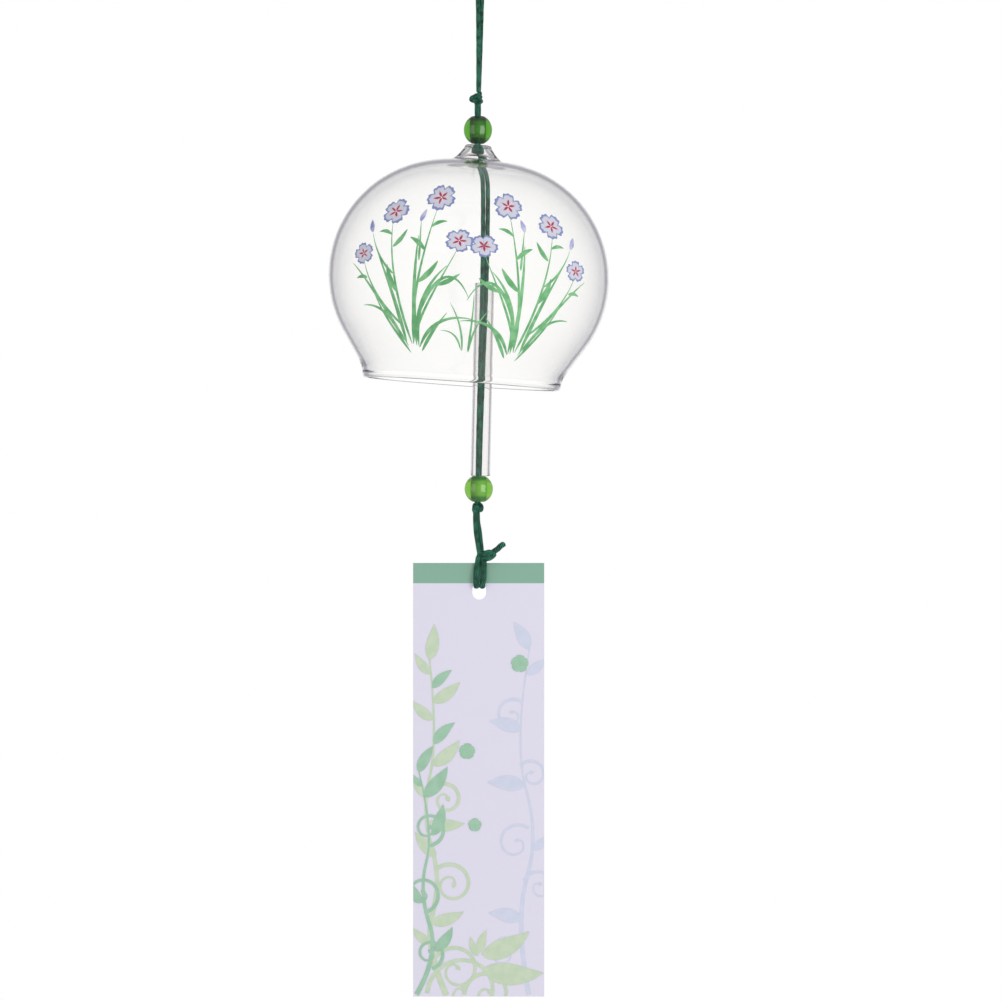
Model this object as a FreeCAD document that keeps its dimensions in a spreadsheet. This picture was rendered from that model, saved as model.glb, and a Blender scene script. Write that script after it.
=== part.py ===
import FreeCAD, Part
import math
import os
import re

import Sketcher
from FreeCAD import Placement, Rotation, Vector

# A furin: a blown glass wind bell on a doubled satin cord, with a glass tube for a clapper and a paper strip.
# Millimetres and degrees. The origin is inside the crown of the hanging loop, where it sits on its hook.
# +Z is up, +X is to the right and +Y goes away from whoever reads the strip.

SIZES = {
    # the cord, and the hook that its loop goes over
    "cord_dia": 1.3,
    "strand_gap": 0.1,
    "hook_dia": 6.5,
    "tail_dia": 1.1,
    # the top knot, its bead and the knot that carries the glass
    "top_knot_drop": 68.0,
    "top_knot_width": 3.0,
    "top_knot_height": 4.4,
    "top_knot_foot": 1.8,
    "neck_drop": 83.65,
    "neck_knot_width": 4.3,
    "neck_knot_height": 3.8,
    "neck_wrap_dia": 2.6,
    "neck_wrap_flat": 0.75,
    # the blown glass
    "bell_dia": 80.0,
    "belly_offset": 7.0,
    "flank_angle": 33.3,
    "lip_height": 3.02,
    "glass_wall": 1.1,
    "rim_dia": 56.6,
    "rim_thick": 1.6,
    "collar_rise": 4.62,
    "collar_dia": 7.8,
    "collar_root_dia": 16.2,
    "mouth_dia": 4.8,
    "throat_dia": 3.9,
    "throat_length": 1.5,
    "cavity_dia": 6.4,
    "cavity_root_dia": 8.8,
    "cavity_step": 0.7,
    "bell_tilt": 4.1,
    # the clapper
    "tube_dia": 5.5,
    "tube_wall": 0.65,
    "tube_length": 55.0,
    "tube_drop": 34.1,
    "tube_lean": 1.3,
    # the two beads
    "bead_dia": 8.1,
    "bead_bore": 3.0,
    "bead_lip": 0.2,
    "lower_knot_dia": 3.4,
    # the strip and the loop that it hangs on
    "lower_cord_length": 13.1,
    "strip_knot_width": 3.2,
    "strip_width": 37.4,
    "strip_length": 123.7,
    "paper_thick": 0.4,
    "slot_width": 4.0,
    "slot_height": 4.9,
    "slot_drop": 5.6,
    "strip_drop": 2.3,
    "loop_depth": 3.1,
    # how far the hanging line wanders sideways, at each piece on it
    "top_knot_side": -0.68,
    "top_bead_side": -0.63,
    "neck_side": -0.72,
    "clapper_side": 0.2,
    "tube_side": 1.28,
    "lower_bead_side": -0.4,
    "lower_knot_side": -0.85,
    "strip_knot_side": 0.43,
    "strip_side": -0.43,
    "slot_side": -0.25,
    # clearances
    "seat_gap": 0.2,
    "bead_gap": 0.92,
    "stack_gap": 0.25,
    "turn_gap": 0.1,
    "swing_gap": 0.12,
}

# Heights that follow from the sizes, all as drops below the crown
HALF_BORE_RISE = "sqrt((bead_dia / 2)^2 - (bead_bore / 2)^2)"
SEAT_RISE = "neck_knot_height / 2 * sqrt(1 - (throat_dia / neck_knot_width)^2)"
MOUTH_RISE = f"({SEAT_RISE} + seat_gap + throat_length)"
BELLY_RADIUS = "(bell_dia / 2 - belly_offset)"
FLANK_HEIGHT = (
    f"(lip_height + (belly_offset + {BELLY_RADIUS} * cos(flank_angle) - rim_dia / 2) / tan(flank_angle))"
)
BELLY_HEIGHT = f"({FLANK_HEIGHT} + {BELLY_RADIUS} * sin(flank_angle))"
COLLAR_ROOT = f"({BELLY_HEIGHT} + sqrt({BELLY_RADIUS}^2 - (collar_root_dia / 2 - belly_offset)^2))"
COLLAR_HEIGHT = f"({COLLAR_ROOT} + collar_rise)"
NECK_TO_FOOT = f"({COLLAR_HEIGHT} - {MOUTH_RISE})"
TOP_BEAD_DROP = (
    f"(neck_drop - {MOUTH_RISE} - sqrt((bead_dia / 2 + bead_gap)^2 - (mouth_dia / 2)^2))"
)
CLAPPER_DROP = "(neck_drop + neck_knot_height / 2 + turn_gap + neck_wrap_flat)"
TUBE_TOP_DROP = f"({CLAPPER_DROP} + tube_drop)"
TUBE_BOTTOM_DROP = f"({TUBE_TOP_DROP} + tube_length * cos(tube_lean))"
LOWER_BEAD_DROP = (
    f"({TUBE_BOTTOM_DROP} + stack_gap + sqrt((bead_dia / 2)^2 - (tube_dia / 2 - tube_wall)^2))"
)
LOWER_KNOT_DROP = f"({LOWER_BEAD_DROP} + {HALF_BORE_RISE} + stack_gap + lower_knot_dia / 2)"
STRIP_KNOT_DROP = f"({LOWER_KNOT_DROP} + lower_cord_length)"
STRIP_TOP_DROP = f"({STRIP_KNOT_DROP} + strip_drop)"
ROCK_DROP = f"({STRIP_TOP_DROP} + slot_drop + slot_width / 2)"

# How much of a run each tangent arc of a cord takes up at a corner
ARC_SHARE = 0.45

# How far out the crown's corners are, as a share of its arcs' radius over the hook
CROWN_SHARE = 1.28

# The knots' cores and turns, as shares of the knot's own width or height
TOP_CORE_SHARE = 0.85
TOP_LUMP_SHARE = 0.95
ROUND_CORE_SHARES = (0.88, 0.94)
STRIP_TURN_SHARE = 1.1
STRIP_TURN_SHARES = (0.62, 0.1, 0.4)

# How much of its diameter the loop's cord sags below the top of the slot
LOOP_SAG_SHARE = 0.85

# Where the two strands go between one knot and the next: how far down the stretch, how far sideways
# the pair is, and which way the pair is turned, from one behind the other at 0 to side by side at 90.
NECK_ROUTE = ((0.0, -0.68, 24), (0.26, -0.66, 21), (0.52, -0.64, 20), (0.78, -0.67, 16), (1.0, -0.72, 15))
CLAPPER_ROUTE = (
    (0.0, 0.3, 62),
    (0.022, 1.0, 70),
    (0.05, 1.5, 80),
    (0.12, 1.55, 78),
    (0.347, 1.3, 55),
    (0.8, -0.2, 25),
    (0.93, -0.4, 20),
    (1.0, -0.75, 20),
)
STRIP_CORD_ROUTE = (
    (0.0, -1.05, 25),
    (0.25, -1.1, 35),
    (0.48, -0.6, 70),
    (0.72, -0.22, 100),
    (1.0, 0.25, 130),
)

# How the turns of the knots lean, each about an axis and by an angle
TOP_LEANS = ((Vector(1, 1, 0), 24), (Vector(0.2, 1, 0), 50))
NECK_LEANS = ((Vector(0, 1, 0), 12), (Vector(1, 0.4, 0), 46))
LOWER_LEANS = ((Vector(1, 1, 0), 28), (Vector(1, -0.3, 0), 65))
STRIP_LEANS = ((Vector(0.3, 1, 0), 35), (Vector(0.3, 1, 0), 52))

# The hanging loop's strands below its crown: sideways, backwards, and which share of the drop to the knot
LEFT_RISE = ((-0.5, -0.76, 1.0), (-0.45, -0.73, 0.785), (-0.68, -0.5, 0.529), (-2.4, -0.12, 0.257))
RIGHT_FALL = ((2.3, 0.12, 0.257), (0.6, 0.5, 0.529), (0.15, 0.73, 0.785), (-0.4, 0.76, 1.0))

# One strand of the strip's loop, down in front of the paper: sideways, forwards, and how far down the loop
LEFT_LEG = ((-0.35, 0.5, 0.04), (-0.8, 0.95, 0.3), (-1.15, 1.25, 0.6))
RIGHT_LEG = ((1.05, 0.5, 0.04), (0.95, 0.95, 0.3), (1.1, 1.25, 0.6))

# The two cut tails: sideways, forwards and up from the middle of the strip's knot
LONG_TAIL = ((2.0, 0.75, -0.4), (4.2, 0.5, 1.5), (6.6, 0.3, 3.4))
SHORT_TAIL = ((1.4, 2.0, -1.3), (2.8, 1.95, -0.6), (4.0, 1.8, 0.5))

doc = FreeCAD.newDocument("furin")
sheet = doc.addObject("Spreadsheet::Sheet", "Sizes")


def fill_sheet():
    for row, (name, value) in enumerate(SIZES.items(), start=1):
        sheet.set(f"A{row}", name)
        sheet.set(f"B{row}", str(value))
        sheet.setAlias(f"B{row}", name)
    doc.recompute()


def bound(expression):
    """The expression with each size in it looked up in the sheet."""
    return re.sub(r"[a-z_]+", lambda m: f"Sizes.{m[0]}" if m[0] in SIZES else m[0], expression)


def value(expression):
    return float(sheet.evalExpression(bound(expression)))


def bind(item, **properties):
    for name, expression in properties.items():
        item.setExpression(name.replace("__", "."), bound(expression))


def place(item, side, drop, forwards="0"):
    """Put an item on the hanging line, at a drop below the crown."""
    bind(item, Placement__Base__x=side, Placement__Base__y=f"-({forwards})", Placement__Base__z=f"-({drop})")


def point(side, drop):
    return Vector(value(side), 0, -value(drop))


def new_body(label):
    body = doc.addObject("PartDesign::Body", label)
    body.Label = label
    return body


def origin_plane(body, role):
    return next(item for item in body.Origin.OriginFeatures if item.Role == role)


def new_sketch(body):
    sketch = body.newObject("Sketcher::SketchObject", f"{body.Label}_outline")
    sketch.AttachmentSupport = (origin_plane(body, "XZ_Plane"), [""])
    sketch.MapMode = "FlatFace"
    return sketch


def arc_between(start, end, radius):
    """The lesser arc from start to end that turns to the left, as a sketch draws it."""
    chord = end - start
    rise = math.sqrt(max(radius**2 - chord.Length**2 / 4, 0))
    centre = (start + end) / 2 + Vector(-chord.y, chord.x, 0).normalize() * rise
    first = math.atan2(start.y - centre.y, start.x - centre.x)
    last = math.atan2(end.y - centre.y, end.x - centre.x)
    circle = Part.Circle(centre, Vector(0, 0, 1), radius)
    return Part.ArcOfCircle(circle, first, last + (2 * math.pi if last < first else 0))


def hold_at(sketch, kind, piece, end, expression):
    """Hold a point of a sketch at a distance from its origin, across or up."""
    hold = sketch.addConstraint(Sketcher.Constraint(kind, -1, 1, piece, end, value(expression)))
    sketch.setExpression(f"Constraints[{hold}]", bound(expression))


def draw_outline(sketch, corners):
    """Draw a closed outline. A corner is (across, up), and where an arc leaves it also has a radius, or
    "half" for a half circle, and a way to turn, left or right. Each corner is held by its two distances,
    and each arc by its radius or, for a half circle, by its centre's height."""
    points = [Vector(value(c[0]), value(c[1]), 0) for c in corners]
    pieces = []
    for i, corner in enumerate(corners):
        start, end = points[i], points[(i + 1) % len(points)]
        if len(corner) == 2:
            piece = sketch.addGeometry(Part.LineSegment(start, end), False)
            pieces.append((piece, 1, 2))
            continue
        radius, way = corner[2:]
        left, half = way == "left", radius == "half"
        size = (end - start).Length / 2 if half else value(radius)
        piece = sketch.addGeometry(arc_between(*((start, end) if left else (end, start)), size), False)
        pieces.append((piece, 1, 2) if left else (piece, 2, 1))
        if half:
            hold_at(sketch, "DistanceY", piece, 3, corner[1])
        else:
            hold = sketch.addConstraint(Sketcher.Constraint("Radius", piece, size))
            sketch.setExpression(f"Constraints[{hold}]", bound(radius))
    for i, corner in enumerate(corners):
        piece, start, _ = pieces[i]
        before, _, end = pieces[i - 1]
        sketch.addConstraint(Sketcher.Constraint("Coincident", before, end, piece, start))
        for kind, expression in zip(("DistanceX", "DistanceY"), corner):
            hold_at(sketch, kind, piece, start, expression)


def turned_body(label, corners):
    """A body turned about its own Z axis from one outline."""
    body = new_body(label)
    sketch = new_sketch(body)
    draw_outline(sketch, corners)
    turn = body.newObject("PartDesign::Revolution", f"{label}_turn")
    turn.Profile = sketch
    turn.ReferenceAxis = (sketch, ["V_Axis"])
    turn.Angle = 360.0
    sketch.Visibility = False
    return body


def glass_bell():
    """The blown glass: a lipped mouth at its foot, a round belly, and a drawn collar with its throat."""
    inner = f"({BELLY_RADIUS} - glass_wall)"
    rim, rim_in = "rim_dia / 2", "(rim_dia / 2 - rim_thick)"
    flank_out = f"belly_offset + {BELLY_RADIUS} * cos(flank_angle)"
    flank_in = f"(belly_offset + {inner} * cos(flank_angle))"
    flank_in_height = f"{BELLY_HEIGHT} - {inner} * sin(flank_angle)"
    lip_round = "((collar_dia - mouth_dia) / 4)"
    body = turned_body(
        "glass_bell",
        (
            (rim_in, "rim_thick / 2", "half", "left"),
            (rim, "rim_thick / 2"),
            (rim, "lip_height"),
            (flank_out, FLANK_HEIGHT, BELLY_RADIUS, "left"),
            ("collar_root_dia / 2", COLLAR_ROOT),
            ("collar_dia / 2", f"{COLLAR_HEIGHT} - {lip_round}", "half", "left"),
            ("mouth_dia / 2", f"{COLLAR_HEIGHT} - {lip_round}"),
            ("throat_dia / 2", f"{COLLAR_HEIGHT} - throat_length"),
            ("cavity_dia / 2", f"{COLLAR_HEIGHT} - throat_length - cavity_step"),
            (
                "cavity_root_dia / 2",
                f"{BELLY_HEIGHT} + sqrt({inner}^2 - (cavity_root_dia / 2 - belly_offset)^2)",
                inner,
                "right",
            ),
            (flank_in, flank_in_height),
            (rim_in, f"{flank_in_height} - ({flank_in} - {rim_in}) / tan(flank_angle)"),
        ),
    )
    place(
        body,
        f"neck_side - {NECK_TO_FOOT} * sin(bell_tilt)",
        f"neck_drop + {NECK_TO_FOOT} * cos(bell_tilt)",
    )
    body.Placement.Rotation = Rotation(Vector(0, 1, 0), value("bell_tilt"))
    bind(body, Placement__Rotation__Angle="bell_tilt")
    return body


def bead(label, side, drop):
    """A round glass bead with a bore down its middle and softened mouths."""
    body = turned_body(
        label,
        (
            ("bead_bore / 2", "0", "bead_dia / 2", "left"),
            ("bead_bore / 2", f"2 * {HALF_BORE_RISE}"),
        ),
    )
    doc.recompute()
    turn = body.Tip
    bore = value("bead_bore / 2")
    mouths = [
        f"Edge{i}"
        for i, edge in enumerate(turn.Shape.Edges, start=1)
        if isinstance(edge.Curve, Part.Circle) and math.isclose(edge.Curve.Radius, bore, abs_tol=1e-6)
    ]
    lips = body.newObject("PartDesign::Fillet", f"{label}_lips")
    lips.Base = (turn, mouths)
    bind(lips, Radius="bead_lip")
    place(body, side, f"{drop} + {HALF_BORE_RISE}")
    return body


def clapper_tube():
    """The glass tube that strikes the bell, with both ends rounded in the flame."""
    inner, outer = "(tube_dia / 2 - tube_wall)", "tube_dia / 2"
    low, high = "tube_wall / 2", "tube_length - tube_wall / 2"
    body = turned_body(
        "clapper_tube",
        (
            (inner, low, "half", "left"),
            (outer, low),
            (outer, high, "half", "left"),
            (inner, high),
        ),
    )
    place(body, "tube_side - tube_length * sin(tube_lean)", TUBE_BOTTOM_DROP)
    body.Placement.Rotation = Rotation(Vector(0, 1, 0), value("tube_lean"))
    bind(body, Placement__Rotation__Angle="tube_lean")
    return body


def neck_wrap():
    """The small turn of cord under the neck knot, round below, where the clapper's cord swings from it."""
    body = turned_body(
        "neck_wrap",
        (
            ("0", "0", "neck_wrap_dia / 2", "left"),
            ("sqrt((neck_wrap_dia / 2)^2 - neck_wrap_flat^2)", "neck_wrap_dia / 2 + neck_wrap_flat"),
            ("0", "neck_wrap_dia / 2 + neck_wrap_flat"),
        ),
    )
    place(body, "clapper_side", f"{CLAPPER_DROP} + neck_wrap_dia / 2")
    return body


def paper_strip():
    """The strip of stiff paper, with a slot near its top edge for the loop."""
    body = new_body("paper_strip")
    sketch = new_sketch(body)
    draw_outline(
        sketch,
        (("0", "0"), ("strip_width", "0"), ("strip_width", "strip_length"), ("0", "strip_length")),
    )
    middle = "(strip_width / 2 + slot_side - strip_side)"
    left, right = f"{middle} - slot_width / 2", f"{middle} + slot_width / 2"
    low = "strip_length - slot_drop - slot_height + slot_width / 2"
    high = "strip_length - slot_drop - slot_width / 2"
    draw_outline(
        sketch,
        (
            (left, low, "half", "left"),
            (right, low),
            (right, high, "half", "left"),
            (left, high),
        ),
    )
    pad = body.newObject("PartDesign::Pad", "paper_strip_pad")
    pad.Profile = sketch
    pad.Midplane = True
    bind(pad, Length="paper_thick")
    sketch.Visibility = False
    place(body, "strip_side - strip_width / 2", f"{STRIP_TOP_DROP} + strip_length")
    return body


def ellipsoid(name, width, height, side, drop, forwards="0"):
    item = doc.addObject("Part::Ellipsoid", name)
    bind(item, Radius1=f"{height} / 2", Radius2=f"{width} / 2", Radius3=f"{width} / 2")
    place(item, side, drop, forwards)
    return item


def turn_of_cord(name, width, side, drop, lean, forwards="0"):
    """One turn of cord round a knot, as wide over all as said, leaning about the axis given."""
    item = doc.addObject("Part::Torus", name)
    bind(item, Radius1=f"({width} - cord_dia) / 2", Radius2="cord_dia / 2")
    place(item, side, drop, forwards)
    axis, angle = lean
    item.Placement.Rotation = Rotation(axis, angle)
    return item


def fused(label, items):
    joined = doc.addObject("Part::MultiFuse", label)
    joined.Shapes = items
    joined.Label = label
    return joined


def top_knot():
    """The knot above the top bead: a core, a turn round it, and a turn that bulges to the left.
    Its foot is flat, over the ends of the strands below it."""
    side, drop, width = "top_knot_side", "top_knot_drop", "top_knot_width"
    lump_side = f"{side} - {width} / 3"
    knot = fused(
        "top_knot_whole",
        [
            ellipsoid("top_knot_core", f"{TOP_CORE_SHARE} * {width}", "top_knot_height", side, drop),
            turn_of_cord("top_knot_turn", width, side, f"{drop} - cord_dia / 2", TOP_LEANS[0]),
            turn_of_cord("top_knot_lump", f"{TOP_LUMP_SHARE} * {width}", lump_side, drop, TOP_LEANS[1]),
        ],
    )
    room = doc.addObject("Part::Box", "top_knot_room")
    reach = "(2 * top_knot_width)"
    bind(room, Length=f"2 * {reach}", Width=f"2 * {reach}", Height="top_knot_height")
    place(room, f"{side} - {reach}", f"{drop} + top_knot_foot", reach)
    trimmed = doc.addObject("Part::Common", "top_knot")
    trimmed.Base = knot
    trimmed.Tool = room
    trimmed.Label = "top_knot"
    return trimmed


def round_knot(label, width, height, side, drop, leans):
    """A knot whose turns all stay inside a ball, so that what swings from its middle clears it."""
    across, up = ROUND_CORE_SHARES
    items = [ellipsoid(f"{label}_core", f"{across} * {width}", f"{up} * {height}", side, drop)]
    for i, lean in enumerate(leans, start=1):
        items.append(turn_of_cord(f"{label}_turn_{i}", width, side, drop, lean))
    return fused(label, items)


def strip_knot():
    """The knot over the paper, where the loop is tied off: a core with a turn round it, and a turn that
    stands in front and to the right."""
    side, drop, width = "strip_knot_side", STRIP_KNOT_DROP, "strip_knot_width"
    across, up = ROUND_CORE_SHARES
    right, down, front = STRIP_TURN_SHARES
    return fused(
        "strip_knot",
        [
            ellipsoid("strip_knot_core", f"{across} * {width}", f"{up} * {width}", side, drop),
            turn_of_cord("strip_knot_turn_1", width, side, drop, STRIP_LEANS[0]),
            turn_of_cord(
                "strip_knot_turn_2",
                f"{STRIP_TURN_SHARE} * {width}",
                f"{side} + {right} * {width}",
                f"{drop} + {down} * {width}",
                STRIP_LEANS[1],
                f"{front} * {width} + paper_thick",
            ),
        ],
    )


def rounded_path(points, name):
    """Straight runs through the points, joined by tangent arcs. Prints the arcs' radii."""
    edges, radii = [], []
    start = points[0]
    for before, corner, after in zip(points, points[1:], points[2:]):
        run = min((corner - before).Length, (after - corner).Length)
        back = (before - corner).normalize()
        ahead = (after - corner).normalize()
        turn = math.pi - back.getAngle(ahead)
        radius = ARC_SHARE * run / math.tan(turn / 2)
        first = corner + back * ARC_SHARE * run
        last = corner + ahead * ARC_SHARE * run
        inside = (back + ahead).normalize() * radius * (1 / math.cos(turn / 2) - 1)
        edges += [Part.LineSegment(start, first).toShape(), Part.Arc(first, corner + inside, last).toShape()]
        radii.append(radius)
        start = last
    edges.append(Part.LineSegment(start, points[-1]).toShape())
    print(f"{name}: radii", ", ".join(f"{r:.1f}" for r in radii))
    return Part.Wire(edges)


def tube_along(points, diameter, name):
    """A tube along a rounded path. Its volume is compared with its section times its length."""
    path = rounded_path(points, name)
    section = Part.Wire(Part.Circle(points[0], points[1] - points[0], diameter / 2).toShape())
    tube = path.makePipeShell([section], True, False)
    area = math.pi * diameter**2 / 4
    print(f"{name}: length {path.Length:.1f}, volume {tube.Volume / (area * path.Length):.4f} of the whole")
    return tube


def pair_points(top, bottom, route):
    """The two strands' points for a route between two drops."""
    pitch = value("(cord_dia + strand_gap) / 2")
    strands = [], []
    for share, side, angle in route:
        turned = math.radians(angle)
        off = Vector(math.sin(turned), math.cos(turned), 0) * pitch
        middle = Vector(side, 0, -(top + (bottom - top) * share))
        strands[0].append(middle - off)
        strands[1].append(middle + off)
    return strands


def cord_feature(label, shapes):
    feature = doc.addObject("Part::Feature", label)
    feature.Label = label
    feature.Shape = shapes[0] if len(shapes) == 1 else Part.makeCompound(shapes)
    feature.Placement = Placement()
    return feature


def pair_feature(label, top, bottom, route, cuts):
    """Two strands between two drops, with a round room cut for each knot that the stretch meets."""
    diameter = value("cord_dia")
    tubes = []
    for i, points in enumerate(pair_points(top, bottom, route)):
        tube = tube_along(points, diameter, f"{label} {i + 1}")
        for centre, radius in cuts:
            tube = tube.cut(Part.makeSphere(radius, centre))
        tubes.append(tube)
    print(f"{label}: gap between its strands {tubes[0].distToShape(tubes[1])[0]:.3f}")
    return cord_feature(label, tubes)


def hanging_loop():
    """One cord: up its left strand, round the crown over the hook, and down its right strand."""
    end = value("top_knot_drop - top_knot_foot")
    corner = value("(hook_dia + cord_dia) / 2") * CROWN_SHARE
    crown = [Vector(way * corner, 0, value("cord_dia / 2")) for way in (-1, 1)]
    left, right = ([Vector(x, y, -end * share) for x, y, share in side] for side in (LEFT_RISE, RIGHT_FALL))
    return cord_feature("hanging_loop", [tube_along(left + crown + right, value("cord_dia"), "hanging_loop")])


def neck_cord():
    """From under the top knot, through the bead and the throat, to just over the neck knot."""
    top = value("top_knot_drop + top_knot_foot + turn_gap")
    room = value("neck_knot_width / 2 + swing_gap")
    neck = point("neck_side", "neck_drop")
    return pair_feature("neck_cord", top, value("neck_drop"), NECK_ROUTE, [(neck, room)])


def inner_cord():
    """From under the neck's wrap, down through the tube and the lower bead, to the lower knot."""
    clapper = point("clapper_side", CLAPPER_DROP)
    bottom = value(f"{LOWER_KNOT_DROP} - lower_knot_dia / 2 - turn_gap")
    room = value("neck_wrap_dia / 2 + swing_gap")
    return pair_feature("inner_cord", -clapper.z, bottom, CLAPPER_ROUTE, [(clapper, room)])


def lower_cord():
    """From the lower knot to the strip's knot."""
    knot = point("lower_knot_side", LOWER_KNOT_DROP)
    room = value("lower_knot_dia / 2 + swing_gap")
    return pair_feature("lower_cord", -knot.z, value(STRIP_KNOT_DROP), STRIP_CORD_ROUTE, [(knot, room)])


def strip_loop():
    """Two strands that go down in front of the paper, back through its slot and up behind it."""
    top = value(STRIP_KNOT_DROP)
    depth = value("loop_depth / 2")
    pass_side = value("(cord_dia + 3 * strand_gap) / 2")
    bottom = value(f"{ROCK_DROP} - slot_width / 2 + seat_gap / 2 + {LOOP_SAG_SHARE} * cord_dia")
    tubes = []
    for name, leg, way in (("left", LEFT_LEG, -1), ("right", RIGHT_LEG, 1)):
        side = value("slot_side") + way * pass_side
        front = [Vector(x, -y, -(top + (bottom - top) * share)) for x, y, share in leg]
        front.append(Vector(side, -depth, -bottom))
        back = [Vector(p.x, -p.y, p.z) for p in reversed(front)]
        tubes.append(tube_along(front + back, value("cord_dia"), f"strip_loop {name}"))
    print(f"strip_loop: gap between its strands {tubes[0].distToShape(tubes[1])[0]:.3f}")
    return cord_feature("strip_loop", tubes)


def cord_tails():
    """The two cut ends that stick out of the strip's knot, up and to the right."""
    knot = point("strip_knot_side", STRIP_KNOT_DROP)
    tubes = []
    for name, tail in (("long", LONG_TAIL), ("short", SHORT_TAIL)):
        points = [knot + Vector(x, -y, z) for x, y, z in tail]
        tubes.append(tube_along(points, value("tail_dia"), f"cord_tails {name}"))
    return cord_feature("cord_tails", tubes)


def check(parts):
    """Stop if anything in the document failed, or if a sub-part has no sound solid."""
    for item in doc.Objects:
        if "Invalid" in item.State or "Error" in item.State:
            raise RuntimeError(f"{item.Label} failed: {item.State}")
    for part in parts:
        if part.Shape.isNull() or not part.Shape.isValid() or not part.Shape.Solids:
            raise RuntimeError(f"{part.Label} has no sound solid")


def write(parts):
    os.makedirs("parts", exist_ok=True)
    for part in parts:
        part.Shape.exportStep(f"parts/{part.Label}.step")
        print(f"{part.Label}: {len(part.Shape.Solids)} solids, volume {part.Shape.Volume:.1f}")


def main():
    fill_sheet()
    parts = [
        hanging_loop(),
        top_knot(),
        neck_cord(),
        bead("top_bead", "top_bead_side", TOP_BEAD_DROP),
        round_knot("neck_knot", "neck_knot_width", "neck_knot_height", "neck_side", "neck_drop", NECK_LEANS),
        neck_wrap(),
        glass_bell(),
        inner_cord(),
        clapper_tube(),
        bead("lower_bead", "lower_bead_side", LOWER_BEAD_DROP),
        round_knot(
            "lower_knot", "lower_knot_dia", "lower_knot_dia", "lower_knot_side", LOWER_KNOT_DROP, LOWER_LEANS
        ),
        lower_cord(),
        strip_knot(),
        cord_tails(),
        strip_loop(),
        paper_strip(),
    ]
    doc.recompute()
    check(parts)
    write(parts)


main()
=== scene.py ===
"""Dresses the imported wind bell: blown glass, painted enamel, satin cord, glass beads and a printed strip.

The row's frame has +Z up, +X right and +Y away from whoever reads the strip. Sizes are in millimetres,
because the pieces are small, and become metres where a mesh is made. Only the studio's are in metres.
"""

import logging
import math
from collections.abc import Callable, Sequence
from dataclasses import dataclass
from enum import Enum

import bmesh
import bpy
from mathutils import Matrix, Vector


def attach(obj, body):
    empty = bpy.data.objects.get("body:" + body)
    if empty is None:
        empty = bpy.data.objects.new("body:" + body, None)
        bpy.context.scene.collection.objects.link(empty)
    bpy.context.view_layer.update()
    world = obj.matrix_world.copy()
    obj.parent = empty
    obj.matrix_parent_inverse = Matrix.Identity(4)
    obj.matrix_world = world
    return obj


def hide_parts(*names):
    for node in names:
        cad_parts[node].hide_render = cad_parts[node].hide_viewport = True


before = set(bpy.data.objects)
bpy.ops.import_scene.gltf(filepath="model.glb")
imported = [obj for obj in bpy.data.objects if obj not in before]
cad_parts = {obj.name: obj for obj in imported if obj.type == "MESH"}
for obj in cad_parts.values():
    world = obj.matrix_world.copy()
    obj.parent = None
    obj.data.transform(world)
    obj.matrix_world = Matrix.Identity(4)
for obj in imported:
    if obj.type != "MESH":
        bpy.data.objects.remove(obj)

LOG = logging.getLogger("wind_bell")
MM = 0.001
WHITE = (1.0, 1.0, 1.0)
BLACK = (0.0, 0.0, 0.0)
Point = tuple[float, float, float]
Flat = tuple[float, float]
Stroke = tuple[Flat, Flat, Flat, float]
Bloom = tuple[float, float, float, float]
Tendril = tuple[Flat, float, float, float, int]
Mesh = bmesh.types.BMesh
Vert = bmesh.types.BMVert
Piece = bpy.types.Object
Material = bpy.types.Material
Node = bpy.types.Node
Socket = bpy.types.NodeSocket


class Slot(Enum):
    """The record's material slots."""

    BELL_GLASS = "bell_glass"
    BEAD_GLASS = "bead_glass"
    CORD = "cord"
    PAPER = "paper"


class Body(Enum):
    """The rigid bodies that the pieces ride on."""

    HANGER = "hanger"
    NECK_LINE = "neck_line"
    UPPER_BEAD = "upper_bead"
    NECK = "neck"
    BELL = "bell"
    WRAP = "wrap"
    CLAPPER_LINE = "clapper_line"
    CLAPPER = "clapper"
    STOP_BEAD = "stop_bead"
    STOP_KNOT = "stop_knot"
    STRIP_LINE = "strip_line"
    STRIP = "strip"


# Finishes


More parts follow.
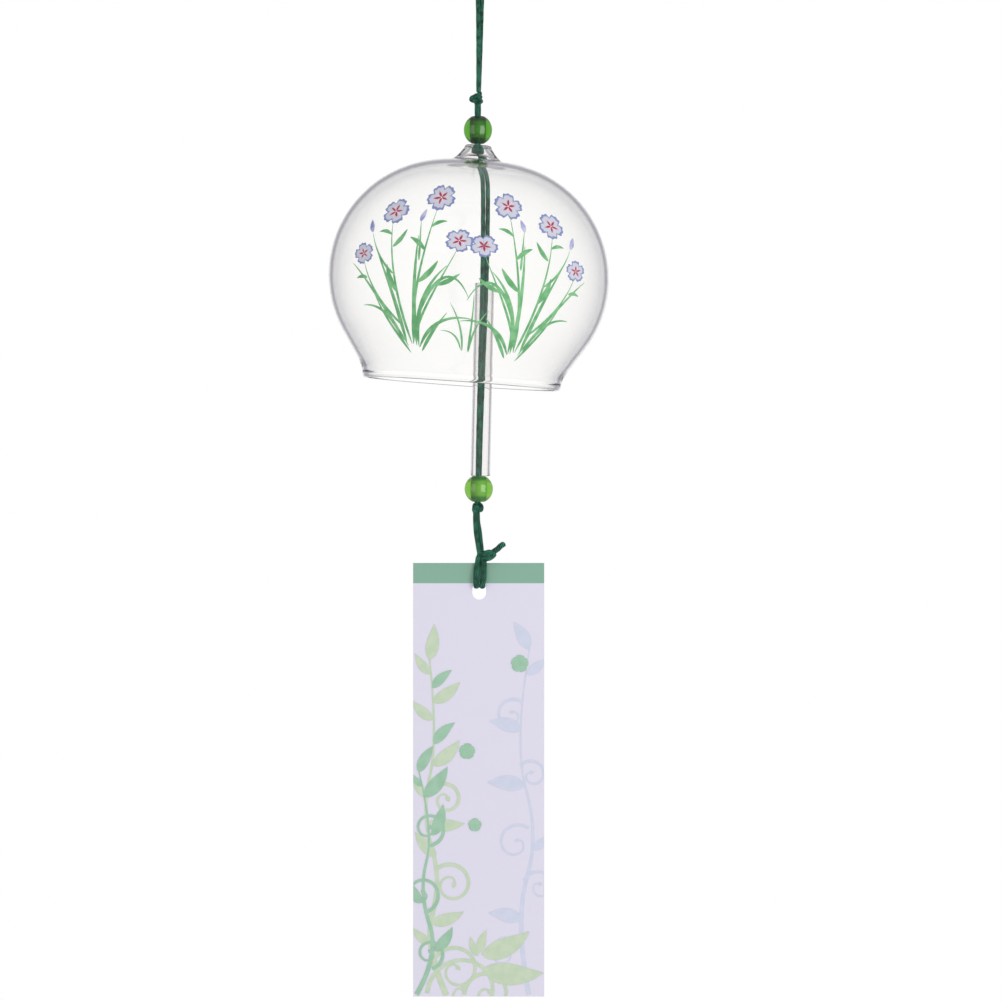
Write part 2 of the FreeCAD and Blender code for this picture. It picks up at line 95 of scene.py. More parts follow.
class Nodes:
    """A small hand for building the node tree of a material or a world."""

    def __init__(self, owner: Material | bpy.types.World, output: str = "OutputMaterial") -> None:
        """Start an empty tree with its output.

        Args:
            owner: What the tree belongs to.
            output: The output node's type, without its ShaderNode prefix.
        """
        owner.use_nodes = True
        self.owner = owner
        self.tree = owner.node_tree
        self.tree.nodes.clear()
        self.output = self.add(output)

    def link(self, source: Socket, target: Socket) -> None:
        """Join two sockets."""
        self.tree.links.new(source, target)

    def add(self, kind: str, inputs: dict[str | int, object] | None = None, **settings: object) -> Node:
        """Add a node, and set its properties before its inputs.

        Args:
            kind: The node's type, without its ShaderNode prefix.
            inputs: A value, or the socket to join, by the input's name or number.
            **settings: Properties of the node.

        Returns:
            The new node.
        """
        node = self.tree.nodes.new(f"ShaderNode{kind}")
        for key, value in settings.items():
            setattr(node, key, value)
        for key, value in (inputs or {}).items():
            if isinstance(value, Socket):
                self.link(value, node.inputs[key])
            else:
                node.inputs[key].default_value = value
        return node

    def shader(self, **inputs: object) -> None:
        """Add the principled shader, with inputs named with underscores for spaces, and join it up."""
        shader = self.add("BsdfPrincipled", {key.replace("_", " "): value for key, value in inputs.items()})
        self.link(shader.outputs["BSDF"], self.output.inputs["Surface"])

    def depth(self, colour: Point, density: float) -> None:
        """Let the thick of a glass take up the light, down to a colour and at a density per metre."""
        volume = self.add("VolumeAbsorption", {"Color": (*colour, 1.0), "Density": density})
        self.link(volume.outputs["Volume"], self.output.inputs["Volume"])

    def place(self, kind: str) -> Socket:
        """The coordinates of one kind, such as Object or UV."""
        return self.add("TexCoord").outputs[kind]

    def split(self, kind: str) -> tuple[Socket, Socket, Socket]:
        """The three numbers of the coordinates of one kind."""
        return tuple(self.add("SeparateXYZ", {"Vector": self.place(kind)}).outputs)

    def noise(self, scale: float, detail: float) -> Socket:
        """A noise in the piece's own coordinates, by its fineness per metre and its octaves."""
        inputs = {"Scale": scale, "Detail": detail, "Vector": self.place("Object")}
        return self.add("TexNoise", inputs).outputs["Fac"]

    def bump(self, height: Socket, strength: float, distance: float) -> Socket:
        """The normal of a bump that follows a height, by its strength and its depth in metres."""
        inputs = {"Height": height, "Strength": strength, "Distance": distance}
        return self.add("Bump", inputs).outputs["Normal"]

    def math(self, operation: str, *terms: Socket | float) -> Socket:
        """The result of some arithmetic on its terms."""
        return self.add("Math", dict(enumerate(terms)), operation=operation).outputs["Value"]

    def mix(self, share: object, first: object, second: object, **settings: str) -> Socket:
        """A mix of two colours, or of what the settings say, by the share of the second."""
        inputs = {"Factor": share, "A": first, "B": second}
        return self.add("Mix", inputs, **{"data_type": "RGBA", **settings}).outputs["Result"]

    def ramp(self, source: Socket, stops: Sequence[tuple[float, Point]], smooth: bool = True) -> Socket:
        """Add a colour ramp.

        Args:
            source: The value that runs along the ramp.
            stops: Positions and linear colours.
            smooth: Whether the ramp eases between its stops, or steps.

        Returns:
            The ramp's colour.
        """
        node = self.add("ValToRGB", {"Fac": source})
        node.color_ramp.interpolation = "EASE" if smooth else "CONSTANT"
        elements = node.color_ramp.elements
        while len(elements) < len(stops):
            elements.new(0.5)
        for element, (position, colour) in zip(elements, stops):
            element.position = position
            element.color = (*colour, 1.0)
        return node.outputs["Color"]


def linear(red: int, green: int, blue: int) -> Point:
    """The linear colour of an 8-bit sRGB one."""
    shares = [channel / 255 for channel in (red, green, blue)]
    return tuple(s / 12.92 if s <= 0.04045 else ((s + 0.055) / 1.055) ** 2.4 for s in shares)


@dataclass(frozen=True)
class ClearGlass:
    """Clear blown glass: faintly grey in the thick, with a slow ripple from the blowing."""

    name: str = "clear_glass"
    tint: Point = (0.998, 0.996, 0.984)
    index: float = 1.47
    depth_colour: Point = (0.50, 0.48, 0.53)
    density: float = 44.0
    ripple_scale: float = 45.0
    ripple: float = 0.02
    ripple_depth: float = 0.0004

    def make(self) -> Material:
        """Build the material.

        Returns:
            The new material.
        """
        n = Nodes(bpy.data.materials.new(self.name))
        normal = n.bump(n.noise(self.ripple_scale, 1.0), self.ripple, self.ripple_depth)
        tint = (*self.tint, 1.0)
        n.shader(Base_Color=tint, Roughness=0.0, IOR=self.index, Transmission_Weight=1.0, Normal=normal)
        n.depth(self.depth_colour, self.density)
        return n.owner


@dataclass(frozen=True)
class GreenGlass:
    """Transparent green bead glass."""

    name: str = "green_glass"
    tint: Point = (0.86, 0.97, 0.50)
    depth_colour: Point = (0.42, 0.74, 0.08)
    density: float = 370.0
    index: float = 1.56

    def make(self) -> Material:
        """Build the material.

        Returns:
            The new material.
        """
        n = Nodes(bpy.data.materials.new(self.name))
        n.shader(Base_Color=(*self.tint, 1.0), Roughness=0.05, IOR=self.index, Transmission_Weight=1.0)
        n.depth(self.depth_colour, self.density)
        return n.owner


@dataclass(frozen=True)
class GroundBore:
    """The ground wall of a bead's bore, which scatters the light and lets the cord show near its ends."""

    name: str = "ground_bore"
    pale: Point = linear(84, 148, 60)
    deep: Point = linear(64, 126, 52)
    end: Point = linear(8, 48, 40)
    grain: float = 1400.0
    unevenness: float = 0.05

    def make(self) -> Material:
        """Build the material.

        Returns:
            The new material.
        """
        n = Nodes(bpy.data.materials.new(self.name))
        along = n.math("MULTIPLY_ADD", n.noise(self.grain, 3.0), self.unevenness, n.split("Generated")[2])
        stops = [(0.24, self.end), (0.36, self.deep), (0.54, self.pale), (0.72, self.deep), (0.84, self.end)]
        n.shader(Base_Color=n.ramp(along, stops), Roughness=0.65, IOR=1.5)
        return n.owner


@dataclass(frozen=True)
class SatinCord:
    """Braided satin cord: dark green, with painted shade where the braid dips and a painted bright sheen
    where it turns to the light.
    """

    name: str = "satin_cord"
    # mid is the cord's own green; dark is painted shade in the braid's dips and light is a painted highlight
    # where it turns up.
    dark: Point = linear(0, 16, 12)
    mid: Point = linear(2, 46, 34)
    light: Point = linear(62, 154, 120)
    sheen: Point = (0.4, 0.85, 0.7)
    plait: Point = (1.0, 6.0, 1.0)
    sheen_mottle: float = 650.0
    sheen_mottle_share: float = 0.55
    braid_depth: float = 0.00008

    def make(self) -> Material:
        """Build the material. The braid follows the strand's UVs: turns along x, round the strand along y.

        Returns:
            The new material.
        """
        n = Nodes(bpy.data.materials.new(self.name))
        stretched = n.add("Mapping", {"Vector": n.place("UV"), "Scale": self.plait}).outputs["Vector"]
        waves = {"Vector": stretched, "Scale": 0.9, "Distortion": 1.6, "Detail": 2.0}
        braid = n.add("TexWave", waves, wave_type="BANDS", bands_direction="DIAGONAL").outputs["Fac"]
        # The braid's bands, mottled by noise, run the colour from painted shade through the cord's green to a
        # painted highlight.
        mottled_sheen = n.mix(self.sheen_mottle_share, braid, n.noise(self.sheen_mottle, 2.0), data_type="FLOAT")
        n.shader(
            Base_Color=n.ramp(mottled_sheen, [(0.35, self.dark), (0.53, self.mid), (0.77, self.light)]),
            Roughness=0.45,
            IOR=1.4,
            Sheen_Weight=0.1,
            Sheen_Roughness=0.3,
            Sheen_Tint=(*self.sheen, 1.0),
            Normal=n.bump(braid, 0.5, self.braid_depth),
        )
        return n.owner


@dataclass(frozen=True)
class Enamel:
    """Brushed enamel paint or ink, a little uneven in its colour."""

    name: str
    pale: Point
    deep: Point
    grain: float = 420.0
    brush_depth: float = 0.00005

    def make(self) -> Material:
        """Build the material.

        Returns:
            The new material.
        """
        n = Nodes(bpy.data.materials.new(self.name))
        brushed = n.noise(self.grain, 3.0)
        colour = n.ramp(brushed, [(0.32, self.deep), (0.68, self.pale)])
        normal = n.bump(brushed, 0.25, self.brush_depth)
        n.shader(Base_Color=colour, Roughness=0.38, Coat_Weight=0.3, Coat_Roughness=0.2, Normal=normal)
        return n.owner


@dataclass(frozen=True)
class PetalEnamel:
    """Petal paint that runs from a crimson heart through pale grey-lilac to a blue-violet edge."""

    name: str = "petal_enamel"
    heart: Point = linear(172, 34, 66)
    blush: Point = linear(206, 178, 200)
    pale: Point = linear(204, 205, 218)
    edge: Point = linear(126, 139, 188)
    grain: float = 900.0
    unevenness: float = 0.30
    streak_spread: float = 0.55

    def make(self) -> Material:
        """Build the material. A petal's UV runs from its root to its tip along x, and across it along y.

        Returns:
            The new material.
        """
        n = Nodes(bpy.data.materials.new(self.name))
        out, aside, _ = n.split("UV")
        along = n.math("MULTIPLY_ADD", n.noise(self.grain, 3.0), self.unevenness, out)
        narrowed = n.math("MULTIPLY_ADD", n.math("ABSOLUTE", aside), self.streak_spread, along)
        petal = n.ramp(along, [(0.30, self.blush), (0.55, self.pale), (0.93, self.pale), (1.0, self.edge)])
        streak = n.ramp(narrowed, [(0.60, WHITE), (0.70, BLACK)])
        colour = n.mix(streak, petal, (*self.heart, 1.0))
        n.shader(Base_Color=colour, Roughness=0.4, Coat_Weight=0.3, Coat_Roughness=0.2)
        return n.owner


@dataclass(frozen=True)
class PrintedPaper:
    """Stiff matte paper in pale lilac with a plain green band at its head."""

    name: str = "printed_paper"
    ground: Point = linear(222, 219, 233)
    band: Point = linear(135, 176, 155)
    band_share: float = 0.9515
    fibre: float = 5200.0
    fibre_shade: Point = (0.965, 0.965, 0.968)
    fibre_depth: float = 0.00003

    def make(self) -> Material:
        """Build the material. The strip's UV y runs from its foot to its head.

        Returns:
            The new material.
        """
        n = Nodes(bpy.data.materials.new(self.name))
        band = n.ramp(n.split("UV")[1], [(0.0, self.ground), (self.band_share, self.band)], smooth=False)
        fibre = n.noise(self.fibre, 4.0)
        shade = n.ramp(fibre, [(0.3, self.fibre_shade), (0.7, WHITE)])
        colour = n.mix(1.0, band, shade, blend_type="MULTIPLY")
        normal = n.bump(fibre, 0.15, self.fibre_depth)
        n.shader(Base_Color=colour, Roughness=0.72, Sheen_Weight=0.05, Normal=normal)
        return n.owner


@dataclass(frozen=True)
class StudioWhite:
    """Matte white for the floor, with a trace of dust."""

    name: str = "studio_white"
    dusty: Point = (0.93, 0.93, 0.93)
    clean: Point = (0.95, 0.95, 0.95)

    def make(self) -> Material:
        """Build the material.

        Returns:
            The new material.
        """
        n = Nodes(bpy.data.materials.new(self.name))
        n.shader(Base_Color=n.ramp(n.noise(3.0, 2.0), [(0.0, self.dusty), (1.0, self.clean)]), Roughness=0.9)
        return n.owner


class Finishes:
    """All the materials of the bell, made once."""

    def __init__(self) -> None:
        """Make them: the glass, the cord, the paints on the glass, the paper and its inks."""
        self.glass = ClearGlass().make()
        self.tube = ClearGlass("tube_glass", density=150.0, ripple=0.01).make()
        self.bead = GreenGlass("deep_green_glass", (0.78, 0.92, 0.46), density=540.0).make()
        self.pale_bead = GreenGlass().make()
        self.bore = GroundBore().make()
        lit = (linear(148, 196, 108), linear(132, 184, 94), linear(60, 120, 72))
        self.pale_bore = GroundBore("pale_bore", *lit).make()
        self.cord = SatinCord().make()
        self.leaf = Enamel("leaf_enamel", linear(132, 196, 138), linear(94, 168, 106)).make()
        self.petal = PetalEnamel().make()
        self.bud = Enamel("bud_enamel", linear(196, 198, 222), linear(128, 138, 192)).make()
        self.paper = PrintedPaper().make()
        self.leaf_ink = Enamel("leaf_ink", linear(200, 215, 188), linear(190, 210, 180)).make()
        self.deep_ink = Enamel("deep_ink", linear(160, 200, 172), linear(150, 193, 163)).make()
        self.ghost_ink = Enamel("ghost_ink", linear(208, 213, 230), linear(203, 209, 226)).make()


# Meshes


def new_piece(name: str, bm: Mesh, materials: list[Material], smooth: bool = True) -> Piece:
    """Turn a bmesh in millimetres into an object in metres.

    Args:
        name: The piece's name.
        bm: Its mesh, which is freed.
        materials: Its materials, by face index.
        smooth: Whether its faces are shaded smooth.

    Returns:
        The new object.
    """
    bmesh.ops.recalc_face_normals(bm, faces=bm.faces)
    bmesh.ops.scale(bm, vec=(MM, MM, MM), verts=bm.verts)
    mesh = bpy.data.meshes.new(name)
    bm.to_mesh(mesh)
    bm.free()
    for polygon in mesh.polygons:
        polygon.use_smooth = smooth
    for material in materials:
        mesh.materials.append(material)
    piece = bpy.data.objects.new(name, mesh)
    bpy.context.scene.collection.objects.link(piece)
    return piece


def let_light_through(piece: Piece) -> Piece:
    """Let clear glass pass the light on to what is inside and behind it.

    Args:
        piece: The glass.

    Returns:
        The same piece.
    """
    piece.visible_shadow = False
    piece.visible_diffuse = False
    return piece


def dress(piece: Piece, body: Body, slot: Slot, *nodes: str) -> Piece:
    """Put a piece on its body and hide the nodes it stands for.

    Args:
        piece: The piece.
        body: The body it rides on.
        slot: The material slot it takes its finish from; not used.
        *nodes: The CAD nodes that it replaces.

    Returns:
        The same piece.
    """
    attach(piece, body.value)
    if nodes:
        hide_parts(*nodes)
    LOG.info("%s rides on %s", piece.name, body.value)
    return piece


def length_of(line: Sequence[Vector]) -> float:
    """The length of a line through some points."""
    return sum((b - a).length for a, b in zip(line, line[1:]))


def smooth_line(points: Sequence[Point | Vector], steps: int = 24) -> list[Vector]:
    """Points along the smooth NURBS line through a route's control points.

    Args:
        points: The route.
        steps: How many points the line has for each of the route's.

    Returns:
        Points close together along the line.
    """
    curve = bpy.data.curves.new("route", "CURVE")
    curve.dimensions = "3D"
    curve.resolution_u = steps
    spline = curve.splines.new("NURBS")
    spline.points.add(len(points) - 1)
    for spot, point in zip(spline.points, points):
        spot.co = (*point, 1.0)
    spline.order_u = 3
    spline.use_endpoint_u = True
    holder = bpy.data.objects.new("route", curve)
    mesh = bpy.data.meshes.new_from_object(holder)
    line = [v.co.copy() for v in mesh.vertices]
    bpy.data.objects.remove(holder)
    bpy.data.curves.remove(curve)
    bpy.data.meshes.remove(mesh)
    return line


def resample(line: list[Vector], step: float, slack: float = 1e-9) -> list[Vector]:
    """Evenly spaced points along a line.

    Args:
        line: The line's points.
        step: About how far apart the new points are.
        slack: How much a stretch may fall short and still hold the next point.

    Returns:
        The new points, with the line's own ends.
    """
    total = length_of(line)
    count = max(2, round(total / step))
    gap = total / count
    spots, walked, target = [line[0].copy()], 0.0, gap
    for a, b in zip(line, line[1:]):
        stretch = (b - a).length
        while stretch > 0 and walked + stretch >= target - slack and len(spots) < count:
            spots.append(a.lerp(b, (target - walked) / stretch))
            target += gap
        walked += stretch
    spots.append(line[-1].copy())
    return spots


def skin(
    bm: Mesh,
    rows: Sequence[Sequence[Vert]],
    closed: bool = True,
    uv: Callable[[int, int], Flat] | None = None,
    marks: dict[int, int] | None = None,
) -> None:
    """Join rows of points with quads.

    Args:
        bm: The mesh to add to.
        rows: The rows, each with as many points.
        closed: Whether each row goes on from its last point to its first.
        uv: The UV of a point, by its row and its place there.
        marks: The material index of the quads after a row, where it isn't 0.
    """
    layer = bm.loops.layers.uv.verify() if uv else None
    for i, (low, high) in enumerate(zip(rows, rows[1:])):
        for k in range(len(low) if closed else len(low) - 1):
            m = (k + 1) % len(low)
            face = bm.faces.new((low[k], low[m], high[m], high[k]))
            face.material_index = (marks or {}).get(i, 0)
            if uv:
                for loop, corner in zip(face.loops, ((i, k), (i, k + 1), (i + 1, k + 1), (i + 1, k))):
                    loop[layer].uv = uv(*corner)


def brush(
    bm: Mesh,
    line: Sequence[tuple[Flat, Flat, float]],
    shoulder: float,
    relief: float,
    place: Callable[[Flat, float], Vector],
) -> None:
    """Lay a thin raised ribbon along a line.

    Args:
        bm: The mesh to add to.
        line: Each point of its middle, with the way it runs there and its width.
        shoulder: The share of its half width that is fully raised.
        relief: How far it is raised.
        place: Where a flat point and its rise come in space.
    """
    rows = []
    for (x, y), (dx, dy), width in line:
        length = math.hypot(dx, dy) or 1.0
        across = (-dy / length * (width / 2), dx / length * (width / 2))
        row = []
        for share, rise in ((-1, 0.0), (-shoulder, relief), (shoulder, relief), (1, 0.0)):
            row.append(bm.verts.new(place((x + across[0] * share, y + across[1] * share), rise)))
        rows.append(row)
    skin(bm, rows, closed=False)


@dataclass(frozen=True)
class Strand:
    """One strand of the satin cord: a round braid whose soft lobes wind along it."""

    diameter: float = 1.3
    sides: int = 18
    step: float = 0.22
    lobes: int = 3
    lobe_share: float = 0.055
    pitch: float = 4.6
    round_end: float = 0.5
    blunt: float = 0.12
    broad: float = 1.0
    thin: float = 1.0

    def sweep(self, bm: Mesh, line: list[Vector], turn: float = 0.0) -> None:
        """Sweep the strand's section along a line and round off both ends.

        Args:
            bm: The mesh to add to.
            line: The centre line.
            turn: Where round the strand its lobes begin, in radians.
        """
        spots = resample(line, self.step)
        total = length_of(spots)
        radius = self.diameter / 2
        ahead = (spots[1] - spots[0]).normalized()
        side = Vector((1, 0, 0)) - ahead * ahead.x
        runs_along_x = side.length <= 0.2
        side = (ahead.orthogonal() if runs_along_x else side).normalized()
        rings, reached, walked = [], [], 0.0
        for i, spot in enumerate(spots):
            before = spots[max(i - 1, 0)]
            now = (spots[min(i + 1, len(spots) - 1)] - before).normalized()
            side = ahead.rotation_difference(now) @ side
            side = (side - now * side.dot(now)).normalized()
            ahead = now
            up = now.cross(side)
            walked += (spot - before).length
            short = max(1 - min(walked, total - walked) / (self.round_end * radius), 0)
            taper = math.sqrt(max(1 - short**2, self.blunt))
            ring = []
            for k in range(self.sides):
                angle = 2 * math.pi * k / self.sides
                wave = math.cos(self.lobes * (angle - turn) - 2 * math.pi * walked / self.pitch)
                reach = radius * taper * (1 - self.lobe_share * (1 - wave) / 2)
                across = side * (math.cos(angle) * self.broad) + up * (math.sin(angle) * self.thin)
                ring.append(bm.verts.new(spot + across * reach))
            rings.append(ring)
            reached.append(walked)
        skin(bm, rings, uv=lambda i, k: (reached[i] / self.diameter, k / self.sides))
        bm.faces.new(rings[0])
        bm.faces.new(rings[-1])


def wander(angle: float, height: float) -> float:
    """How a hand-blown wall wanders from round, at an angle and a height, as a share of its wobble."""
    waves = ((2, 0.7, 19.0, 1.0), (3, 2.1, -13.0, 0.6))
    return sum(share * math.sin(lobes * angle + start + height / rise) for lobes, start, rise, share in waves)


def lathe(
    bm: Mesh,
    outline: list[Flat],
    steps: int,
    place: Matrix,
    wobble: float = 0.0,
    marks: dict[int, int] | None = None,
    full_radius: float = 30.0,
) -> None:
    """Turn a closed outline about Z.

    Args:
        bm: The mesh to add to.
        outline: Radius and height of each point, in order round the outline.
        steps: How many segments go round.
        place: Where the turned form goes.
        wobble: How far the hand-blown wall wanders from round.
        marks: The material index of the faces after an outline point, where it isn't 0.
        full_radius: The radius from which the wobble is a full one.
    """
    rings = []
    for radius, height in outline:
        ring = []
        for k in range(steps):
            angle = 2 * math.pi * k / steps
            reach = radius + wobble * wander(angle, height) * min(radius / full_radius, 1)
            spot = Vector((reach * math.cos(angle), reach * math.sin(angle), height))
            ring.append(bm.verts.new(place @ spot))
        rings.append(ring)
    skin(bm, rings + rings[:1], marks=marks)


def curve_at(start: Flat, corner: Flat, end: Flat, share: float) -> tuple[Flat, Flat]:
    """A point of the soft curve that rounds a corner, and the way the curve runs there.

    Args:
        start: Where the curve starts.
        corner: The corner that it rounds.
        end: Where it ends.
        share: How far along it the point is, from 0 to 1.

    Returns:
        The point, and the way as a vector of any length.
    """
    rest = 1 - share
    rows = list(zip(start, corner, end))
    spot = tuple(rest**2 * a + 2 * share * rest * b + share**2 * c for a, b, c in rows)
    way = tuple(2 * rest * (b - a) + 2 * share * (c - b) for a, b, c in rows)
    return spot, way


def soften(start: Flat, corner: Flat, end: Flat, count: int) -> list[Flat]:
    """Points on the soft curve that rounds a corner, both ends included."""
    return [curve_at(start, corner, end, i / count)[0] for i in range(count + 1)]


def arc(centre: Flat, radius: float, start: float, end: float, count: int) -> list[Flat]:
    """Points on an arc, from one angle to another in degrees, both ends included."""
    angles = [math.radians(start + (end - start) * i / count) for i in range(count + 1)]
    return [(centre[0] + radius * math.cos(a), centre[1] + radius * math.sin(a)) for a in angles]


def run(start: Flat, end: Flat, count: int) -> list[Flat]:
    """Points between two outline points, neither included."""
    drift = (end[0] - start[0], end[1] - start[1])
    return [(start[0] + drift[0] * i / count, start[1] + drift[1] * i / count) for i in range(1, count)]


# The blown glass


@dataclass
class GlassBell:
    """The blown glass bell, turned about its own axis and leaning as it hangs.

    Its outline has the CAD's sizes, with the drawn collar's flare, the throat and the lip's shoulder
    softened. `flare` is how far in and up its outside goes from the collar's root. `shoulder` has the
    heights where the lip's bend starts, turns and ends. `hollow` has the inside's: where its bend starts
    and turns over the flank's foot, and where it ends over the middle of the rim's round.
    """

    foot: Point = (-5.425, 0.0, -149.282)
    tilt: float = 4.1
    offset: float = 7.0
    belly: float = 33.0
    wall: float = 1.1
    flank: float = 33.3
    lip_height: float = 3.02
    rim: float = 28.3
    rim_thick: float = 1.6
    collar_root: float = 8.1
    collar_rise: float = 4.62
    collar: float = 3.9
    mouth: float = 2.4
    throat: float = 1.95
    throat_length: float = 1.5
    cavity: float = 3.2
    cavity_root: float = 4.4
    cavity_step: float = 0.7
    flare: tuple[Flat, ...] = ((1.1, 0.42), (2.2, 1.25), (3.1, 2.25), (3.8, 3.15))
    shoulder: Point = (1.0, 3.4, 7.6)
    hollow: Point = (5.6, 0.4, 1.5)
    hollow_out: float = 0.1
    mouth_soft: Flat = (0.1, 1.0)
    throat_soft: Flat = (0.25, 0.1)
    cavity_soft: Flat = (0.3, 0.9)
    rim_soft: float = 0.12
    rim_heights: Point = (1.0, 0.55, 0.2)
    steps: int = 288
    round_steps: int = 96
    flank_steps: int = 8
    bend_steps: int = 12
    throat_steps: int = 10
    ledge_steps: int = 3
    hollow_steps: int = 6
    wobble: float = 0.09

    def __post_init__(self) -> None:
        """Work out the heights that follow from the sizes."""
        flank = math.radians(self.flank)
        self.slope = math.tan(flank)
        self.flank_radius = self.offset + self.belly * math.cos(flank)
        self.flank_height = self.lip_height + (self.flank_radius - self.rim) / self.slope
        self.centre_height = self.flank_height + self.belly * math.sin(flank)
        self.root_height = self.centre_height + self.rise(self.belly, self.collar_root)
        self.top = self.root_height + self.collar_rise
        lean = Matrix.Rotation(math.radians(self.tilt), 4, "Y")
        self.place = Matrix.Translation(Vector(self.foot)) @ lean

    def rise(self, radius: float, across: float) -> float:
        """How far over the belly's centre a sphere of that radius stands, at a distance from the axis."""
        return math.sqrt(radius**2 - (across - self.offset) ** 2)

    def angle_at(self, across: float, height: float) -> float:
        """The angle in degrees under which the belly's centre sees a point of the outline."""
        return math.degrees(math.atan2(height - self.centre_height, across - self.offset))

    def flank_at(self, radius: float, base: float, height: float) -> Flat:
        """The point at a height on the flank's slope, which starts at a radius and a base height."""
        return radius + (height - base) * self.slope, height

    def outside(self) -> list[Flat]:
        """The outline from the foot up the outside and over the collar's mouth.

        Returns:
            The points.
        """
        half = self.rim_thick / 2
        lip = (self.collar - self.mouth) / 2
        start, corner, end = self.shoulder
        points = arc((self.rim - half, half), half, -180, 0, self.bend_steps)
        upper = self.flank_at(self.rim, self.lip_height, end)
        points += soften((self.rim, start), (self.rim, corner), upper, self.bend_steps)
        points += run(points[-1], (self.flank_radius, self.flank_height), self.flank_steps)
        root = self.angle_at(self.collar_root, self.root_height)
        points += arc((self.offset, self.centre_height), self.belly, -self.flank, root, self.round_steps)
        foot = points[-1]
        points += [(foot[0] - inward, foot[1] + up) for inward, up in self.flare]
        points += arc((self.mouth + lip, self.top - lip), lip, 0, 180, self.bend_steps)
        points.append((self.mouth - self.mouth_soft[0], self.top - self.mouth_soft[1]))
        points.append((self.throat, self.top - self.throat_length))
        return points

    def inside(self) -> list[Flat]:
        """The outline from the throat's narrowest point down the inside.

        Returns:
            The points, after the throat's own.
        """
        inner = self.belly - self.wall
        throat = (self.throat, self.top - self.throat_length)
        ledge = throat[1] - self.cavity_step
        top = self.centre_height + self.rise(inner, self.cavity_root)
        wide = (self.cavity - self.cavity_soft[0], ledge - self.cavity_soft[1])
        corner = (self.throat + self.throat_soft[0], ledge + self.throat_soft[1])
        points = soften(throat, corner, wide, self.throat_steps)[1:]
        points += run(wide, (self.cavity_root, top), self.ledge_steps)
        start = self.angle_at(self.cavity_root, top)
        points += arc((self.offset, self.centre_height), inner, start, -self.flank, self.round_steps)
        flank = (self.offset + inner * math.cos(math.radians(self.flank)), points[-1][1])
        neck = self.rim - self.wall
        foot = (neck, flank[1] - (flank[0] - neck) / self.slope)
        bend, corner, end = self.hollow
        start = self.flank_at(*foot, foot[1] + bend)
        points += run(flank, start, self.hollow_steps)
        half = self.rim_thick / 2
        rim_in = self.rim - self.rim_thick
        turn = (neck + self.hollow_out, foot[1] + corner)
        points += soften(start, turn, (neck, half + end), self.bend_steps)
        high, middle, low = (half + up for up in self.rim_heights)
        return points + [(neck - self.rim_soft, high), (rim_in + self.rim_soft, middle), (rim_in, low)]

    def outer(self, height: float) -> float:
        """The outside radius at a height over the foot, below the collar.

        Args:
            height: The height.

        Returns:
            The radius.
        """
        if height <= self.lip_height:
            return self.rim
        if height <= self.flank_height:
            share = (height - self.lip_height) / (self.flank_height - self.lip_height)
            return self.rim + share * (self.flank_radius - self.rim)
        return self.offset + math.sqrt(max(self.belly**2 - (height - self.centre_height) ** 2, 0))

    def surface(self, turn: float, height: float, lift: float, near: float = 0.05) -> Vector:
        """A point over the glass, in the row's frame.

        Args:
            turn: The angle round the bell's axis, in degrees, with -90 towards the reader.
            height: The height over the foot.
            lift: How far outside the glass it is.
            near: How far up and down the wall's slope is read.

        Returns:
            The point.
        """
        angle = math.radians(turn)
        slope = Vector((self.outer(height + near) - self.outer(height - near), 0, 2 * near)).normalized()
        reach = self.outer(height) + self.wobble * wander(angle, height)
        spot = Vector((reach, 0, height)) + Vector((slope.z, 0, -slope.x)) * lift
        return self.place @ (Matrix.Rotation(angle, 3, "Z") @ spot)

    def build(self, finishes: Finishes) -> None:
        """Make the glass.

        Args:
            finishes: The materials.
        """
        bm = bmesh.new()
        lathe(bm, self.outside() + self.inside(), self.steps, self.place, self.wobble)
        piece = let_light_through(new_piece("bell_glass", bm, [finishes.glass]))
        dress(piece, Body.BELL, Slot.BELL_GLASS, "glass_bell")


@dataclass(frozen=True)
class Tuft:
    """Where one tuft stands: its turn round the glass, root's height, scale, way round and first blades."""

    turn: float
    root: float
    scale: float
    way: float
    blades: int | None = None
    in_flower: bool = True


